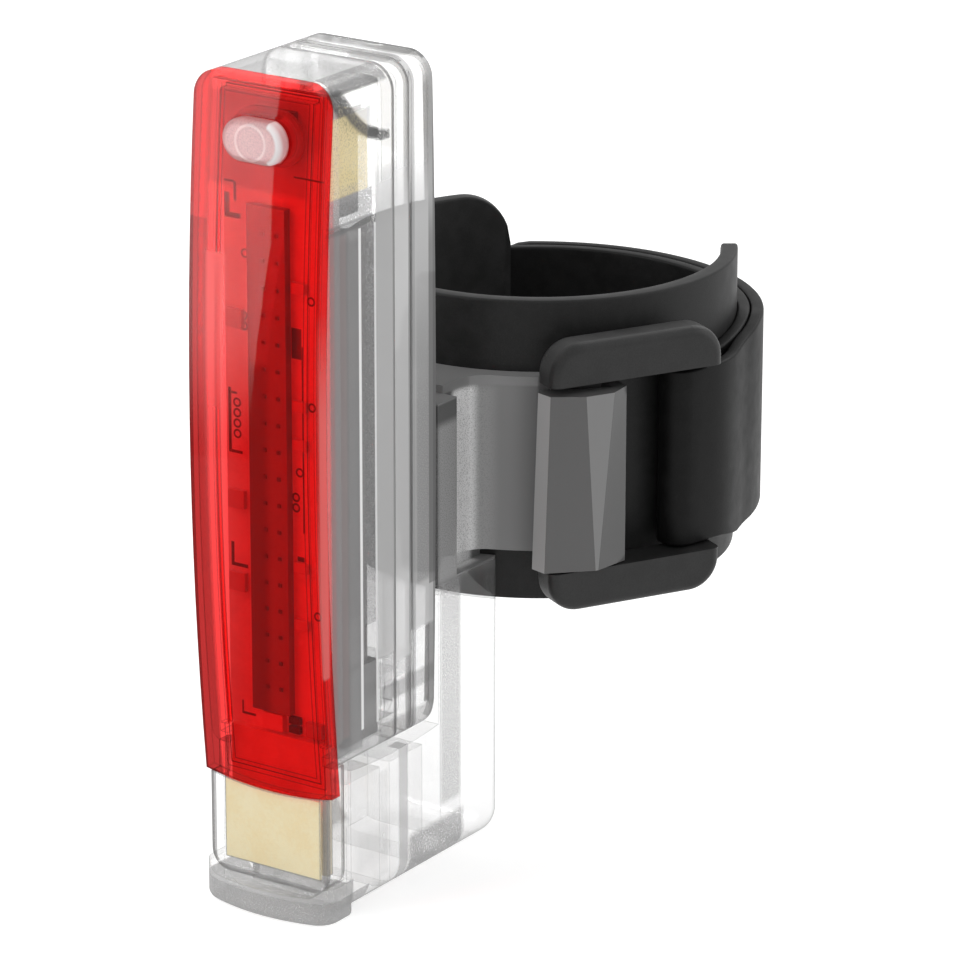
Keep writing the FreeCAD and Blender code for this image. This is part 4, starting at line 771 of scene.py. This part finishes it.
def start_section(name, middle, degrees, wall, height, rounding):
    """An upright rounded rectangle as a loop of edges, with its wall along the post's radius."""
    bpy.ops.object.select_all(action="DESELECT")
    bpy.ops.mesh.primitive_plane_add(size=1, location=middle)
    piece = bpy.context.object
    piece.name = name
    piece.scale = (wall * MM, height * MM, 1)
    piece.rotation_euler = (math.radians(90), 0, math.radians(degrees - 90))
    bpy.ops.object.transform_apply(location=True, rotation=True, scale=True)
    bpy.ops.object.mode_set(mode="EDIT")
    bpy.ops.mesh.select_all(action="SELECT")
    bpy.ops.mesh.bevel(offset=rounding * MM, segments=3, affect="VERTICES")
    bpy.ops.mesh.select_all(action="SELECT")
    bpy.ops.mesh.delete(type="ONLY_FACE")
    bpy.ops.mesh.select_all(action="SELECT")
    return piece


def spin(degrees, centre, step=3.0):
    """Takes the selected section round an upright axis, anticlockwise seen from above."""
    count = max(2, round(abs(degrees) / step))
    bpy.ops.mesh.spin(steps=count, angle=math.radians(degrees), center=centre, axis=(0, 0, -1))


def close_ends():
    """Fills the open ends and turns all faces outwards."""
    bpy.ops.mesh.select_all(action="SELECT")
    bpy.ops.mesh.remove_doubles(threshold=1e-6)
    bpy.ops.mesh.select_all(action="DESELECT")
    bpy.ops.mesh.select_mode(type="EDGE")
    bpy.ops.mesh.select_non_manifold(extend=False, use_wire=False, use_multi_face=False,
                                     use_non_contiguous=False, use_verts=False)
    bpy.ops.mesh.edge_face_add()
    bpy.ops.mesh.select_all(action="SELECT")
    bpy.ops.mesh.normals_make_consistent(inside=False)
    bpy.ops.object.mode_set(mode="OBJECT")


def finish_piece(piece, material, body, replaced):
    """Smooths a piece, gives it its finish and says what it rides on and stands for."""
    bpy.ops.object.select_all(action="DESELECT")
    piece.select_set(True)
    bpy.context.view_layer.objects.active = piece
    bpy.ops.object.shade_smooth_by_angle(angle=math.radians(SMOOTH_BELOW))
    piece.data.materials.clear()
    piece.data.materials.append(material)
    if body:
        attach(piece, body)
    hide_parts(replaced)
    print(piece.name, len(piece.data.polygons), "faces")


print("modelling helpers ready")

# %% Strap
def eased(share):
    """A share that starts and ends gently."""
    return share * share * (3 - 2 * share)


WALL = 1.1
WIDE = 17.4
NARROW = 15.6
CORNER_ROUND = 0.22
MIDDLE_Z = -0.87
INNER = 17.95
BAR_CENTRE = 19.2
OUTER = 20.45
RESTING = 19.15
FOLD_AT = 72.4
LEAVE_AT = 80.2
TOUCH_AT = 101.0
TAIL_AT = 228.0
BEAD_AT = 316.0
FOLD_STEP = 15
LEAN_STEPS = 8

raised = Vector((0, 0, MIDDLE_Z * MM))
strap = start_section("rubber_strap", bend_place(INNER, BEAD_AT) + raised, BEAD_AT, WALL, WIDE, CORNER_ROUND)
spin(FOLD_AT - BEAD_AT, (0, 0, 0))
spin(180, bend_place(BAR_CENTRE, FOLD_AT), FOLD_STEP)
spin(LEAVE_AT - FOLD_AT, (0, 0, 0))
for number in range(LEAN_STEPS):
    done = (number + 1) / LEAN_STEPS
    turn = math.radians((TOUCH_AT - LEAVE_AT) / LEAN_STEPS)
    bpy.ops.mesh.spin(steps=1, angle=turn, center=(0, 0, 0), axis=(0, 0, -1))
    gained = eased(done) - eased(number / LEAN_STEPS)
    outwards = bend_place(1, LEAVE_AT + done * (TOUCH_AT - LEAVE_AT))
    bpy.ops.transform.translate(value=outwards * (RESTING - OUTER) * gained)
spin(TAIL_AT - TOUCH_AT, (0, 0, 0))
close_ends()
print("strap", [round(v / MM, 2) for v in strap.dimensions], "mm, untapered")

# %% [markdown]
# The strap is narrower beside the light, where it passes through the ring, and its tail is rounded. Both are
# a change of height only, so each point keeps its place round the post and moves up or down.

# %% Taper the strap
def share_of(value, start, end):
    """How far a value has gone from start to end, between 0 and 1."""
    return min(1.0, max(0.0, (value - start) / (end - start)))


def drawn_in(left, rounding):
    """How far a rounded corner has drawn in, at a place that is left from the piece's end."""
    if left >= rounding:
        return 0.0
    return rounding - math.sqrt(rounding ** 2 - (rounding - left) ** 2)


TAIL_ROUND = 4.0
TOP_WIDENS = (0, 8)
FOOT_WIDENS = (-3, 1)
BEAD_RADIUS = 1.4
BEAD_DISTANCE = 19.5
TAIL_INSIDE = RESTING - WALL / 2 - 0.05

for vertex in strap.data.vertices:
    x, y, z = vertex.co / MM
    rise = z - MIDDLE_Z
    widening = share_of(y, *TOP_WIDENS) if rise > 0 else share_of(y, *FOOT_WIDENS)
    half = (NARROW + (WIDE - NARROW) * widening) / 2
    angle = math.degrees(math.atan2(x, -y)) % 360
    if math.hypot(x, y) > TAIL_INSIDE and TOUCH_AT < angle < TAIL_AT + 1:
        half -= drawn_in(math.radians(max(TAIL_AT - angle, 0)) * RESTING, TAIL_ROUND)
    vertex.co.z = (MIDDLE_Z + rise * half / (WIDE / 2)) * MM

bpy.ops.object.select_all(action="DESELECT")
bpy.ops.mesh.primitive_cylinder_add(vertices=40, radius=BEAD_RADIUS * MM, depth=NARROW * MM,
                                    location=bend_place(BEAD_DISTANCE, BEAD_AT) + raised)
strap.select_set(True)
bpy.context.view_layer.objects.active = strap
bpy.ops.object.join()
finish_piece(strap, rubber, None, "strap")
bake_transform(strap)

# %% [markdown]
# ## The rubber liner
#
# The liner keeps the post from being scratched. It is an open tube with rounded ears at its ends, made like
# the strap: one section is spun round the post, and the ends are drawn in to round corners.

# %% Liner
LINER_MIDDLE = 16.625
LINER_WALL = 1.45
LINER_HEIGHT = 26.6
LINER_START = -137.5
LINER_SWEEP = 265.5
LINER_CORNER = 0.25
EAR = 4.5
TIP = 1.2

liner = start_section("rubber_liner", bend_place(LINER_MIDDLE, LINER_START), LINER_START,
                      LINER_WALL, LINER_HEIGHT, LINER_CORNER)
spin(LINER_SWEEP, (0, 0, 0), 1.0)
close_ends()
for vertex in liner.data.vertices:
    x, y, z = vertex.co / MM
    gone = (math.degrees(math.atan2(x, -y)) - LINER_START + 1) % 360 - 1
    from_ear = math.radians(max(min(gone, LINER_SWEEP), 0)) * LINER_MIDDLE
    from_tip = math.radians(max(LINER_SWEEP - gone, 0)) * LINER_MIDDLE
    drop = max(drawn_in(from_ear, EAR), drawn_in(from_tip, TIP))
    vertex.co.z *= 1 - drop / (LINER_HEIGHT / 2)
finish_piece(liner, liner_rubber, "mount", "post_liner")
